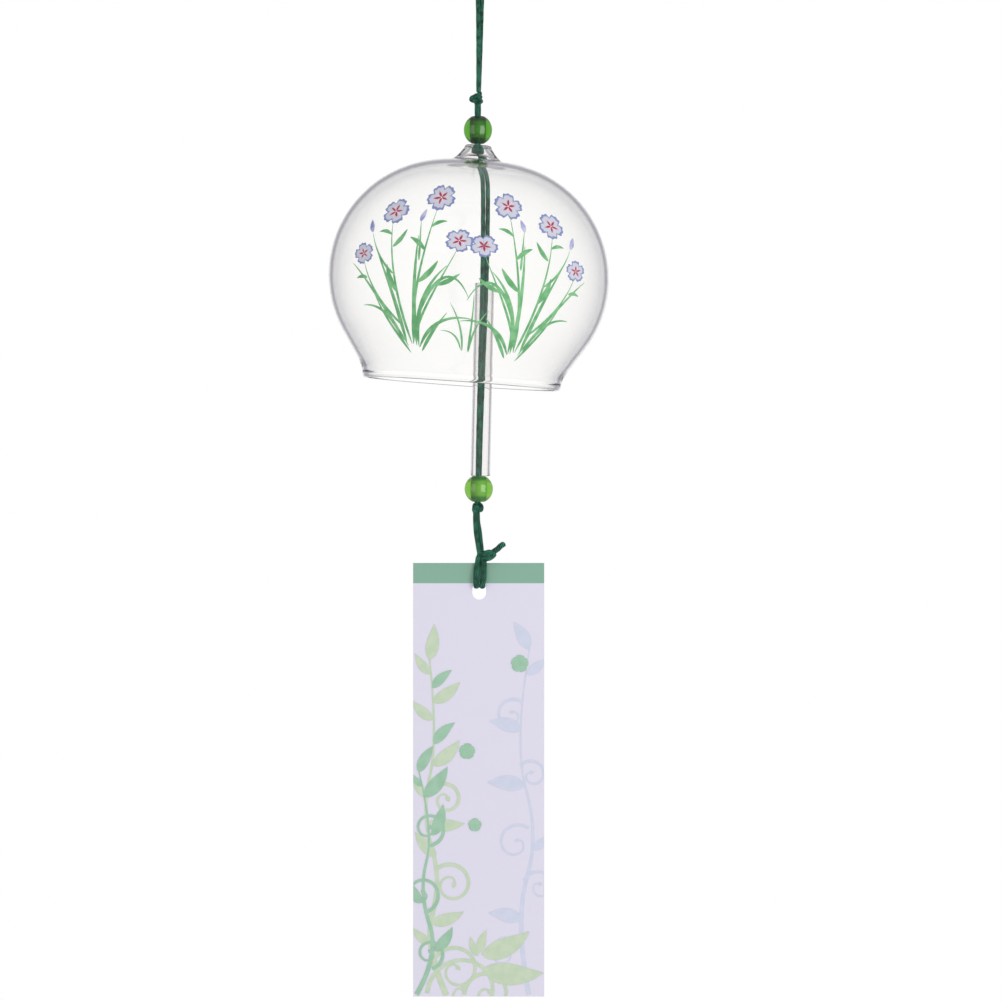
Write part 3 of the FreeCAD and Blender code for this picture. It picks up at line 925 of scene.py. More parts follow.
@dataclass
class Meadow:
    """A generic painted meadow on the front of the glass: tufts of grass, and small open flowers with buds.

    Each tuft is a table of strokes in millimetres to the right of and over its root. A stroke is
    (start, bend, end, width), a flower is (right, up, size, turn) and a bud is (right, up, length, lean).
    """

    glass: GlassBell
    lift: float = 0.02
    relief: float = 0.06
    shoulder: float = 0.55
    swell: float = 0.4
    taper: float = 0.55
    finest: float = 0.16
    stroke_steps: int = 20
    layer_step: float = 0.0012
    layers: int = 60
    spread: float = 36.0
    blade_belly: float = 0.25
    stem_belly: float = 0.12
    leaf_belly: float = 0.45
    petals: int = 5
    petal_grid: tuple[int, int] = (7, 14)
    petal_half: float = 37.0
    petal_opening: float = 0.12
    petal_root: float = 0.04
    petal_squash: float = 0.86
    petal_foot: float = 0.2
    petal_crest: float = 0.94
    notch: float = 0.34
    tooth: float = 0.05
    teeth: float = 11.0
    flower_turn: float = 23.0
    bud_side: float = 0.2
    bud_fullness: float = 0.42
    shapes: int = 0
    blades: tuple[Stroke, ...] = (
        ((-1.6, 0.8), (-1.6, 14.0), (-9.0, 26.0), 1.25),
        ((1.7, 0.6), (3.2, 16.0), (2.6, 31.0), 1.25),
        ((2.4, 0.4), (3.4, 15.0), (11.0, 23.0), 1.2),
        ((-2.4, 1.4), (-5.0, 12.0), (-14.0, 11.0), 1.15),
        ((-0.9, -1.4), (-6.0, 6.0), (-9.6, 14.5), 1.0),
        ((3.2, -0.8), (7.6, 5.0), (11.5, 10.0), 1.05),
        ((0.9, 1.4), (10.0, 30.0), (17.0, 14.5), 1.0),
        ((-1.2, 0.4), (-9.0, 17.0), (-17.6, 22.5), 1.0),
        ((2.6, 0.2), (9.0, 10.6), (18.6, 8.6), 1.05),
    )
    stems: tuple[Stroke, ...] = (
        ((0.2, 1.0), (-2.6, 18.0), (-6.2, 35.0), 0.85),
        ((0.7, 1.0), (4.2, 20.0), (6.4, 39.5), 0.85),
        ((0.9, 2.0), (7.6, 14.0), (13.2, 27.5), 0.8),
        ((-3.4, 20.0), (-7.6, 23.0), (-11.8, 31.0), 0.75),
        ((-1.8, 6.0), (-9.4, 13.0), (-13.4, 23.6), 0.8),
        ((3.6, 24.0), (3.4, 30.0), (2.5, 35.2), 0.65),
    )
    leaves: tuple[Stroke, ...] = (
        ((-2.2, 15.0), (-4.8, 18.5), (-5.4, 22.5), 1.6),
        ((3.6, 18.0), (6.6, 20.2), (8.6, 24.2), 1.6),
        ((4.9, 27.0), (2.8, 29.6), (0.4, 30.4), 1.4),
        ((-4.3, 27.5), (-2.2, 29.4), (-1.0, 32.6), 1.4),
        ((8.6, 17.5), (11.4, 18.2), (14.4, 21.0), 1.4),
        ((5.6, 33.5), (7.4, 35.6), (9.8, 35.4), 1.1),
        ((-5.4, 31.0), (-7.6, 32.4), (-9.6, 31.6), 1.1),
        ((-11.8, 18.6), (-13.6, 19.4), (-15.8, 18.4), 1.1),
    )
    flowers: tuple[Bloom, ...] = (
        (-6.4, 37.6, 8.4, 10.0), (6.6, 42.2, 8.8, 40.0), (13.6, 30.2, 7.4, 20.0), (-13.8, 25.4, 7.0, 50.0),
    )
    buds: tuple[Bloom, ...] = ((-12.0, 31.4, 4.0, 28.0), (2.4, 35.0, 3.6, -14.0))
    tufts: tuple[Tuft, ...] = (
        Tuft(-116.0, 8.6, 1.0, 1.0),
        Tuft(-63.0, 8.2, 0.98, -1.0),
        Tuft(-89.0, 8.0, 0.52, 1.0, blades=4, in_flower=False),
    )

    def spot(self, tuft: Tuft, at: Flat, rise: float) -> Vector:
        """A point of the painting on the glass.

        Args:
            tuft: The tuft that it belongs to.
            at: Its place in the tuft's own table.
            rise: How far it is raised over the paint's foot.

        Returns:
            The point.
        """
        turn = tuft.turn + math.degrees(tuft.way * at[0] * tuft.scale / self.spread)
        over = self.lift + rise + self.layer_step * (self.shapes % self.layers)
        return self.glass.surface(turn, tuft.root + at[1] * tuft.scale, over)

    def stroke(self, bm: Mesh, tuft: Tuft, shape: Stroke, belly: float) -> None:
        """Paint one brush stroke: a raised ribbon that swells and runs out to a point.

        Args:
            bm: The mesh to add to.
            tuft: The tuft that it belongs to.
            shape: The stroke's start, bend, end and width.
            belly: How far along the stroke it is widest, from 0 to 1.
        """
        self.shapes += 1
        line = []
        for i in range(self.stroke_steps + 1):
            t = i / self.stroke_steps
            full = (t / belly) ** self.swell if t < belly else ((1 - t) / (1 - belly)) ** self.taper
            line.append((*curve_at(*shape[:3], t), max(shape[3] * full, self.finest)))
        brush(bm, line, self.shoulder, self.relief, lambda at, rise: self.spot(tuft, at, rise))

    def flower(self, bm: Mesh, tuft: Tuft, middle: Flat, size: float, turn: float) -> None:
        """Paint one open flower of notched petals.

        Args:
            bm: The mesh to add to.
            tuft: The tuft that it belongs to.
            middle: The flower's place.
            size: Its size across.
            turn: Its turn in degrees.
        """
        rings, sides = self.petal_grid
        for petal in range(self.petals):
            self.shapes += 1
            heading = math.radians(turn + 360 * petal / self.petals)
            rows = []
            for ring in range(rings + 1):
                share = ring / rings
                row = []
                for side in range(sides + 1):
                    across = 2 * side / sides - 1
                    opening = 1 - self.petal_opening * (1 - share)
                    angle = heading + math.radians(self.petal_half) * across * opening
                    teeth = self.tooth * math.cos(self.teeth * across) * share**2
                    edge = 1 - self.notch * across**4 + teeth
                    reach = size / 2 * (self.petal_root + (1 - self.petal_root) * share * edge)
                    right = middle[0] + reach * math.sin(angle)
                    up = middle[1] + reach * math.cos(angle) * self.petal_squash
                    crest = math.sin(math.pi * min(share, self.petal_crest)) * (1 - across**2)
                    rise = self.relief * (self.petal_foot + crest)
                    row.append(bm.verts.new(self.spot(tuft, (right, up), rise)))
                rows.append(row)
            skin(bm, rows, closed=False, uv=lambda i, k: (i / rings, 2 * k / sides - 1))

    def bud(self, bm: Mesh, tuft: Tuft, foot: Flat, length: float, lean: float) -> None:
        """Paint one closed bud as a short full stroke.

        Args:
            bm: The mesh to add to.
            tuft: The tuft that it belongs to.
            foot: Where it sits on its stem.
            length: Its length.
            lean: Its lean to the left, in degrees.
        """
        x, y = foot
        tip = (x - length * math.sin(math.radians(lean)), y + length * math.cos(math.radians(lean)))
        middle = ((x + tip[0]) / 2 - self.bud_side, (y + tip[1]) / 2)
        self.stroke(bm, tuft, (foot, middle, tip, length * self.bud_fullness), self.leaf_belly)

    def build(self, finishes: Finishes) -> None:
        """Paint the whole meadow: one piece for the leaves, one for the petals and one for the buds.

        Args:
            finishes: The materials.
        """
        green, petals, buds = bmesh.new(), bmesh.new(), bmesh.new()
        for index, tuft in enumerate(self.tufts):
            for shape in self.blades[: tuft.blades]:
                self.stroke(green, tuft, shape, self.blade_belly)
            if not tuft.in_flower:
                continue
            for shapes, belly in ((self.stems, self.stem_belly), (self.leaves, self.leaf_belly)):
                for shape in shapes:
                    self.stroke(green, tuft, shape, belly)
            for x, y, size, turn in self.flowers:
                self.flower(petals, tuft, (x, y), size, turn + self.flower_turn * index)
            for x, y, length, lean in self.buds:
                self.bud(buds, tuft, (x, y), length, lean)
        for name, bm, paint in (
            ("painted_grass", green, finishes.leaf),
            ("painted_flowers", petals, finishes.petal),
            ("painted_buds", buds, finishes.bud),
        ):
            dress(new_piece(name, bm, [paint]), Body.BELL, Slot.BELL_GLASS)


# Beads and tube


@dataclass
class Bead:
    """A round glass bead with softened mouths and a ground bore."""

    name: str
    node: str
    body: Body
    middle: Point
    radius: float = 4.05
    bore: float = 1.5
    lip: float = 0.2
    mouth_in: float = 0.08
    mouth_down: float = 0.12
    ground_share: float = 0.94
    ground_steps: int = 9
    tall: float = 1.0
    pale: bool = False
    steps: int = 96
    round_steps: int = 56
    mouth_steps: int = 4

    def outline(self) -> tuple[list[Flat], dict[int, int]]:
        """The outline round the bead's section.

        Returns:
            The points, and the material index of the faces that are ground.
        """
        edge = math.degrees(math.acos((self.bore + self.lip) / self.radius))
        outside = arc((0.0, 0.0), self.radius, -edge, edge, self.round_steps)
        points = [(across, self.tall * up) for across, up in outside]
        top = points[-1][1]
        mouth = top - self.mouth_down
        ground = top * self.ground_share
        points += [(self.bore + self.mouth_in, top), (self.bore, mouth)]
        points += run((self.bore, mouth), (self.bore, ground), self.mouth_steps)
        marks = {}
        for i in range(self.ground_steps):
            marks[len(points)] = 1
            points.append((self.bore, ground - 2 * ground * i / self.ground_steps))
        points.append((self.bore, -ground))
        points += run((self.bore, -ground), (self.bore, -mouth), self.mouth_steps)
        return points + [(self.bore, -mouth), (self.bore + self.mouth_in, -top)], marks

    def build(self, finishes: Finishes) -> Piece:
        """Make the bead.

        Args:
            finishes: The materials.

        Returns:
            Its piece.
        """
        bm = bmesh.new()
        outline, marks = self.outline()
        lathe(bm, outline, self.steps, Matrix.Translation(Vector(self.middle)), marks=marks)
        looks = [finishes.pale_bead, finishes.pale_bore] if self.pale else [finishes.bead, finishes.bore]
        piece = let_light_through(new_piece(self.name, bm, looks))
        return dress(piece, self.body, Slot.BEAD_GLASS, self.node)


@dataclass
class ClapperTube:
    """The glass tube, with both ends rounded in the flame."""

    foot: Point = (0.032, 0.0, -175.486)
    lean: float = 1.3
    length: float = 55.0
    radius: float = 2.75
    wall: float = 0.65
    steps: int = 72
    end_steps: int = 12
    side_steps: int = 24

    def build(self, finishes: Finishes) -> None:
        """Make the tube.

        Args:
            finishes: The materials.
        """
        half = self.wall / 2
        middle = self.radius - half
        inner = self.radius - self.wall
        top = self.length - half
        points = arc((middle, half), half, -180, 0, self.end_steps)
        points += run((self.radius, half), (self.radius, top), self.side_steps)
        points += arc((middle, top), half, 0, 180, self.end_steps)
        points += run((inner, top), (inner, half), self.side_steps)
        place = Matrix.Translation(Vector(self.foot)) @ Matrix.Rotation(math.radians(self.lean), 4, "Y")
        bm = bmesh.new()
        lathe(bm, points, self.steps, place)
        tube = let_light_through(new_piece("tube_glass", bm, [finishes.tube]))
        dress(tube, Body.CLAPPER, Slot.BELL_GLASS, "clapper_tube")


# The cord


@dataclass
class HangingLoop:
    """The loop over the hook: one cord, up one strand, round the crown and down the other."""

    strand: Strand = Strand()
    route: tuple[Point, ...] = (
        (-0.5, -0.76, -66.2),
        (-0.45, -0.73, -51.967),
        (-0.68, -0.5, -35.02),
        (-2.4, -0.12, -17.013),
        (-4.992, 0.0, 0.65),
        (4.992, 0.0, 0.65),
        (2.3, 0.12, -17.013),
        (0.6, 0.5, -35.02),
        (0.15, 0.73, -51.967),
        (-0.4, 0.76, -66.2),
    )

    def build(self, finishes: Finishes) -> None:
        """Args:
            finishes: The materials.
        """
        line = smooth_line(self.route)
        bm = bmesh.new()
        self.strand.sweep(bm, line)
        piece = dress(new_piece("loop_cord", bm, [finishes.cord]), Body.HANGER, Slot.CORD, "hanging_loop")


@dataclass
class CordPair:
    """Two strands side by side between two knots, tucked into the knots at their ends.

    The route's rows are the share of the way down, how far sideways the pair is, and how the pair is
    turned, from one behind the other at 0 to side by side at 90.
    """

    name: str
    node: str
    body: Body
    top: float
    bottom: float
    route: list[Point]
    tuck_top: float = 0.0
    tuck_bottom: float = 0.0
    declared: bool = False
    strand: Strand = Strand()
    gap: float = 0.1
    second_turn: float = 1.3

    def lines(self) -> list[list[Vector]]:
        """Work out where the strands run.

        Returns:
            The two strands' smooth centre lines.
        """
        strands: tuple[list[Vector], list[Vector]] = ([], [])
        for share, side, turn in self.route:
            turned = math.radians(turn)
            off = Vector((math.sin(turned), math.cos(turned), 0)) * ((self.strand.diameter + self.gap) / 2)
            middle = Vector((side, 0, -(self.top + (self.bottom - self.top) * share)))
            strands[0].append(middle - off)
            strands[1].append(middle + off)
        for points in strands:
            first = points[0] + (points[0] - points[1]).normalized() * self.tuck_top
            last = points[-1] + (points[-1] - points[-2]).normalized() * self.tuck_bottom
            points[0], points[-1] = first, last
        return [smooth_line(points) for points in strands]

    def build(self, finishes: Finishes) -> None:
        """Make the two strands.

        Args:
            finishes: The materials.
        """
        for k, line in enumerate(self.lines()):
            bm = bmesh.new()
            self.strand.sweep(bm, line, turn=self.second_turn * k)
            piece = new_piece(f"{self.name}_{'ab'[k]}", bm, [finishes.cord])
            dress(piece, self.body, Slot.CORD, self.node)


@dataclass
class Knot:
    """A knot of the cord: one or more lengths that wind over and under round its middle."""

    name: str
    node: str
    body: Body
    middle: Point
    core: Point
    turns: list[list[Point]]
    strand: Strand = Strand(sides=20, step=0.12, pitch=3.4, lobe_share=0.09)
    next_turn: float = 0.9

    def build(self, finishes: Finishes) -> None:
        """Make the knot: the turns that show, over the part of the strand that is wound up inside.

        Args:
            finishes: The materials.
        """
        bm = bmesh.new()
        middle = Vector(self.middle)
        inside = Matrix.Translation(middle) @ Matrix.Diagonal((*self.core, 1.0))
        bmesh.ops.create_uvsphere(bm, u_segments=32, v_segments=20, radius=1.0, matrix=inside)
        for k, route in enumerate(self.turns):
            line = smooth_line([Vector(point) + middle for point in route])
            self.strand.sweep(bm, line, turn=self.next_turn * k)
        dress(new_piece(self.name, bm, [finishes.cord]), self.body, Slot.CORD, self.node)


@dataclass
class StripLoop:
    """The loop that the strip hangs on: two strands down in front, back through the slot and up behind.

    A leg's rows are how far sideways and forward it is, and its share of the way down.
    """

    top: float = -198.011
    bottom: float = -207.116
    slot_side: float = -0.25
    pass_side: float = 0.8
    depth: float = 1.55
    left: tuple[Point, ...] = ((-0.35, 0.5, 0.04), (-0.8, 0.95, 0.3), (-1.15, 1.25, 0.6))
    right: tuple[Point, ...] = ((1.05, 0.5, 0.04), (0.95, 0.95, 0.3), (1.1, 1.25, 0.6))
    strand: Strand = Strand(sides=20, step=0.14, pitch=4.0, broad=1.36, thin=0.9)
    leg_turn: float = 0.8

    def build(self, finishes: Finishes) -> None:
        """Make both strands as one piece.

        Args:
            finishes: The materials.
        """
        bm = bmesh.new()
        drop = self.bottom - self.top
        for leg, way in ((self.left, -1), (self.right, 1)):
            front = [Vector((x, -y, self.top + drop * share)) for x, y, share in leg]
            front.append(Vector((self.slot_side + way * self.pass_side, -self.depth, self.bottom)))
            back = [Vector((p.x, -p.y, p.z)) for p in reversed(front)]
            self.strand.sweep(bm, smooth_line(front + back), turn=self.leg_turn * way)
        piece = new_piece("strip_loop_cord", bm, [finishes.cord])
        dress(piece, Body.STRIP_LINE, Slot.CORD, "strip_loop")


@dataclass
class CutTails:
    """The two cut ends that stick out of the strip's knot, by points from the knot's middle."""

    knot: Point = (0.43, 0.0, -198.011)
    long_tail: tuple[Point, ...] = (
        (0.6, -0.9, -0.6), (2.0, -0.75, -0.4), (4.2, -0.5, 1.5), (6.6, -0.3, 3.4),
    )
    short_tail: tuple[Point, ...] = (
        (0.6, -1.6, -1.0), (1.4, -2.0, -1.3), (2.8, -1.95, -0.6), (4.0, -1.8, 0.5),
    )
    strand: Strand = Strand(
        diameter=1.5, sides=20, step=0.12, pitch=2.6, lobe_share=0.14, round_end=0.7, broad=1.3
    )

    def build(self, finishes: Finishes) -> None:
        """Make both tails as one piece.

        Args:
            finishes: The materials.
        """
        bm = bmesh.new()
        for tail in (self.long_tail, self.short_tail):
            self.strand.sweep(bm, smooth_line([Vector(self.knot) + Vector(point) for point in tail]))
        dress(new_piece("cut_tails", bm, [finishes.cord]), Body.STRIP_LINE, Slot.CORD, "cord_tails")


# The strip


@dataclass
class PaperStrip:
    """The strip of stiff paper: a thin sheet with a slot and softened edges."""

    left: float = -19.13
    top: float = -200.311
    width: float = 37.4
    length: float = 123.7
    thick: float = 0.4
    slot_middle: float = -0.25
    slot_half: float = 2.0
    slot_drop: float = 5.6
    slot_height: float = 4.9
    slot_steps: int = 20
    edge: float = 0.06

    def slot_points(self) -> list[Flat]:
        """The slot's outline, sideways and up.

        Returns:
            Its points, in order round it.
        """
        high = self.top - self.slot_drop - self.slot_half
        low = self.top - self.slot_drop - self.slot_height + self.slot_half
        upper = arc((self.slot_middle, high), self.slot_half, 0, 180, self.slot_steps)
        return upper + arc((self.slot_middle, low), self.slot_half, 180, 360, self.slot_steps)

    def wall(self, bm: Mesh, outline: list[Flat], way: int) -> list[list[Vert]]:
        """Raise the wall along one outline, with both its edges softened.

        Args:
            bm: The mesh to add to.
            outline: The outline's points, sideways and up.
            way: 1 where the softened edge goes inward, -1 where it goes outward.

        Returns:
            The wall's rings, from the front to the back.
        """
        middle = Vector((sum(p[0] for p in outline), sum(p[1] for p in outline))) / len(outline)
        half = self.thick / 2
        flat = half - self.edge
        rings = []
        for depth, inset in ((-half, self.edge), (-flat, 0.0), (flat, 0.0), (half, self.edge)):
            ring = []
            for x, z in outline:
                away = (Vector((x, z)) - middle).normalized() * (way * inset)
                ring.append(bm.verts.new((x - away.x, depth, z - away.y)))
            rings.append(ring)
        skin(bm, rings)
        return rings

    def build(self, finishes: Finishes) -> None:
        """Make the paper.

        Args:
            finishes: The materials.
        """
        bm = bmesh.new()
        uvs = bm.loops.layers.uv.verify()
        right, foot = self.left + self.width, self.top - self.length
        corners = [(right, self.top), (self.left, self.top), (self.left, foot), (right, foot)]
        walls = [self.wall(bm, corners, 1), self.wall(bm, self.slot_points(), -1)]
        for side in (0, -1):
            rings = [rings[side] for rings in walls]
            edges = [bm.edges.get(pair) for ring in rings for pair in zip(ring, ring[1:] + ring[:1])]
            bmesh.ops.triangle_fill(bm, use_beauty=True, use_dissolve=False, edges=edges)
        for face in bm.faces:
            for loop in face.loops:
                spot = loop.vert.co
                loop[uvs].uv = ((spot.x - self.left) / self.width, (spot.z - foot) / self.length)
        piece = new_piece("paper_sheet", bm, [finishes.paper], smooth=False)
        dress(piece, Body.STRIP, Slot.PAPER, "paper_strip")


@dataclass(frozen=True)
class Vine:
    """One printed vine, in millimetres from the strip's lower left corner and degrees from its +X.

    A tendril is (start, heading, radius, turns, way), where the way is 1 to the left and -1 to the right, a
    leaf is (root, heading, length, curl) and a blossom is (middle, size).
    """

    name: str
    stem: tuple[Flat, ...]
    stem_width: float
    tendril_width: float
    leaf_scale: float
    leaf_fullness: float
    tendrils: tuple[Tendril, ...]
    leaves: tuple[tuple[Flat, float, float, float], ...]
    blossoms: tuple[tuple[Flat, float], ...] = ()


GHOST_VINE = Vine(
    name="printed_ghost",
    stem=((33.0, 0.5), (29.0, 22.0), (36.0, 46.0), (28.5, 72.0), (33.5, 101.0)),
    stem_width=1.5,
    tendril_width=1.0,
    leaf_scale=1.3,
    leaf_fullness=0.42,
    tendrils=(
        ((31.0, 14.0), 120.0, 4.6, 1.1, 1), ((31.6, 33.0), 60.0, 4.2, 1.2, -1),
        ((33.0, 48.0), 150.0, 5.0, 1.1, 1), ((30.6, 66.0), 40.0, 3.8, 1.1, -1),
        ((31.2, 84.0), 150.0, 4.2, 1.1, 1),
    ),
    leaves=(
        ((31.0, 22.0), 160.0, 7.6, 20.0), ((34.0, 42.0), 30.0, 5.0, 20.0), ((31.8, 60.0), 165.0, 8.4, 20.0),
        ((30.9, 76.0), 155.0, 7.4, 20.0), ((32.4, 92.0), 30.0, 5.5, 20.0), ((33.0, 99.0), 110.0, 7.0, 20.0),
    ),
)
PALE_VINE = Vine(
    name="printed_leaves",
    stem=((9.5, 0.4), (3.0, 15.0), (8.2, 33.0), (2.4, 52.0), (7.2, 74.0), (4.6, 97.0)),
    stem_width=1.7,
    tendril_width=1.2,
    leaf_scale=1.4,
    leaf_fullness=0.36,
    tendrils=(
        ((5.6, 10.0), 60.0, 6.6, 1.3, -1), ((6.2, 36.0), 40.0, 5.6, 1.4, -1),
        ((4.6, 58.0), 60.0, 4.4, 1.35, -1), ((14.5, 0.6), 80.0, 6.4, 1.35, -1),
        ((4.0, 1.0), 80.0, 10.4, 1.25, -1),
    ),
    leaves=(
        ((5.0, 15.0), 150.0, 5.2, -25.0), ((5.0, 21.2), 4.0, 7.2, 30.0), ((6.6, 40.0), 140.0, 6.6, -20.0),
        ((4.2, 49.6), -14.0, 7.6, 28.0), ((4.0, 57.0), 140.0, 4.6, -25.0), ((5.6, 66.0), 30.0, 7.6, 28.0),
        ((5.8, 79.0), 150.0, 6.0, -25.0), ((5.6, 84.0), 25.0, 7.0, 25.0), ((4.8, 92.0), 135.0, 5.2, -20.0),
        ((4.6, 96.0), 75.0, 7.4, 15.0), ((19.5, 12.0), 10.0, 11.0, 34.0), ((20.0, 8.0), -18.0, 12.5, 30.0),
        ((18.9, 12.4), 84.0, 5.0, -25.0), ((18.4, 11.6), 122.0, 4.2, -25.0),
    ),
)
DEEP_VINE = Vine(
    name="printed_scrolls",
    stem=((1.0, 0.6), (7.6, 12.0), (1.6, 30.0), (6.0, 47.0), (1.2, 66.0)),
    stem_width=1.4,
    tendril_width=1.05,
    leaf_scale=1.35,
    leaf_fullness=0.36,
    tendrils=(
        ((5.4, 8.0), 20.0, 3.8, 1.35, 1), ((3.4, 24.0), 20.0, 4.8, 1.35, 1),
        ((4.4, 43.0), 10.0, 4.4, 1.35, 1),
    ),
    leaves=(
        ((6.2, 13.0), 40.0, 6.4, 30.0), ((2.4, 27.0), 130.0, 4.6, -25.0), ((5.6, 46.0), 60.0, 7.0, 25.0),
        ((3.0, 57.0), 40.0, 8.2, 25.0), ((1.6, 64.0), 70.0, 6.4, -20.0), ((2.6, 60.0), 140.0, 3.6, -20.0),
        ((6.0, 72.0), 60.0, 6.4, -30.0), ((5.6, 88.0), 55.0, 5.6, -25.0),
    ),
    blossoms=(((15.4, 70.0), 4.6), ((30.4, 95.0), 5.0), ((17.6, 49.0), 3.8)),
)


@dataclass
class Scrollwork:
    """Generic leafy vines printed up the strip's left side, with a faint one behind them on the right."""

    paper: PaperStrip
    margin: float = 0.15
    lift: float = 0.012
    thick: float = 0.012
    shoulder: float = 0.9
    layer_step: float = 0.0016
    finest: float = 0.05
    stem_taper: float = 0.75
    turn_steps: int = 40
    winding: float = 0.8
    least_radius: float = 0.5
    tendril_taper: float = 0.6
    eye_scale: float = 1.5
    eye_fullness: float = 0.75
    leaf_steps: int = 14
    leaf_belly: float = 0.75
    leaf_round: float = 0.9
    petals: int = 5
    petal_steps: int = 12
    petal_turn: float = 12.0
    petal_start: float = 0.06
    petal_fullness: float = 0.62
    shapes: int = 0

    def spot(self, at: Flat, rise: float) -> Vector:
        """A point over the paper's face, kept off its edges.

        Args:
            at: Its place from the strip's lower left corner.
            rise: How far it is raised over the ink's foot.

        Returns:
            The point.
        """
        x = min(max(at[0], self.margin), self.paper.width - self.margin)
        y = min(max(at[1], self.margin), self.paper.length - self.margin)
        over = self.lift + self.layer_step * self.shapes + rise
        foot = self.paper.top - self.paper.length
        return Vector((self.paper.left + x, -self.paper.thick / 2 - over, foot + y))

    def ribbon(self, bm: Mesh, line: list[Flat], widths: list[float]) -> None:
        """Print a line of changing width.

        Args:
            bm: The mesh to add to.
            line: The middle of the line.
            widths: Its width at each point.
        """
        self.shapes += 1
        around = zip([line[0], *line], [*line[1:], line[-1]])
        ways = [(after[0] - before[0], after[1] - before[1]) for before, after in around]
        brush(bm, list(zip(line, ways, widths)), self.shoulder, self.thick, self.spot)

    def tendril(self, bm: Mesh, shape: Tendril, width: float) -> None:
        """Print one tendril that winds in on itself and ends in a round eye.

        Args:
            bm: The mesh to add to.
            shape: Its start, heading, radius, turns and way.
            width: Its width where it leaves its stem.
        """
        start, heading, size, turns, way = shape
        steps = round(self.turn_steps * turns)
        turn = 2 * math.pi * turns / steps
        angle = math.radians(heading)
        x, y = start
        line, widths = [start], [width]
        for i in range(steps):
            share = i / steps
            radius = size * (1 - share) ** self.winding + self.least_radius
            x += radius * turn * math.cos(angle)
            y += radius * turn * math.sin(angle)
            angle += way * turn
            line.append((x, y))
            widths.append(width * (1 - self.tendril_taper * share))
        self.ribbon(bm, line, widths)
        self.leaf(bm, (x, y), math.degrees(angle), self.eye_scale * width, self.eye_fullness)

    def leaf(
        self, bm: Mesh, root: Flat, heading: float, length: float, fullness: float, curl: float = 0.0
    ) -> None:
        """Print one pointed leaf.

        Args:
            bm: The mesh to add to.
            root: Where it joins its stem.
            heading: Which way it points, in degrees from +X.
            length: How long it is.
            fullness: Its width as a share of its length.
            curl: How far its tip curls, in degrees.
        """
        step = length / self.leaf_steps
        line, widths = [], []
        x, y = root
        for i in range(self.leaf_steps + 1):
            t = i / self.leaf_steps
            line.append((x, y))
            full = math.sin(math.pi * t**self.leaf_belly) ** self.leaf_round
            widths.append(max(length * fullness * full, self.finest))
            angle = math.radians(heading + curl * t)
            x += step * math.cos(angle)
            y += step * math.sin(angle)
        self.ribbon(bm, line, widths)

    def blossom(self, bm: Mesh, middle: Flat, size: float) -> None:
        """Print a small round blossom.

        Args:
            bm: The mesh to add to.
            middle: Its middle.
            size: Its size across.
        """
        for petal in range(self.petals):
            angle = math.radians(360 * petal / self.petals + self.petal_turn)
            line, widths = [], []
            for i in range(self.petal_steps + 1):
                t = i / self.petal_steps
                share = self.petal_start + (1 - self.petal_start) * t
                reach = size / 2 * share
                line.append((middle[0] + reach * math.cos(angle), middle[1] + reach * math.sin(angle)))
                full = self.petal_fullness * size * math.sqrt(share) * math.sqrt(1 - t**5)
                widths.append(max(full, self.finest))
            self.ribbon(bm, line, widths)

    def stem(self, bm: Mesh, points: Sequence[Flat], width: float) -> None:
        """Print a stem through some points, as one smooth line that thins towards its tip.

        Args:
            bm: The mesh to add to.
            points: The points.
            width: Its width at its foot.
        """
        line = [(p.x, p.y) for p in smooth_line([(x, y, 0.0) for x, y in points])]
        widths = [width * (1 - self.stem_taper * i / len(line)) for i in range(len(line))]
        self.ribbon(bm, line, widths)

    def vine(self, vine: Vine, ink: Material) -> None:
        """Print one vine as one piece.

        Args:
            vine: What it consists of.
            ink: Its ink.
        """
        bm = bmesh.new()
        self.stem(bm, vine.stem, vine.stem_width)
        for shape in vine.tendrils:
            self.tendril(bm, shape, vine.tendril_width)
        for root, heading, length, curl in vine.leaves:
            self.leaf(bm, root, heading, vine.leaf_scale * length, vine.leaf_fullness, curl)
        for middle, size in vine.blossoms:
            self.blossom(bm, middle, size)
        dress(new_piece(vine.name, bm, [ink], smooth=False), Body.STRIP, Slot.PAPER)

    def build(self, finishes: Finishes) -> None:
        """Print the ghost first, then the pale vine, then the deeper one.

        Args:
            finishes: The materials.
        """
        self.vine(GHOST_VINE, finishes.ghost_ink)
        self.vine(PALE_VINE, finishes.leaf_ink)
        self.vine(DEEP_VINE, finishes.deep_ink)


# The studio


@dataclass(frozen=True)
class SoftBox:
    """One soft box: its place, width and height, its power in watts, and whether it lights only the beads."""

    name: str
    spot: Point
    size: Flat
    power: float
    for_beads: bool = False


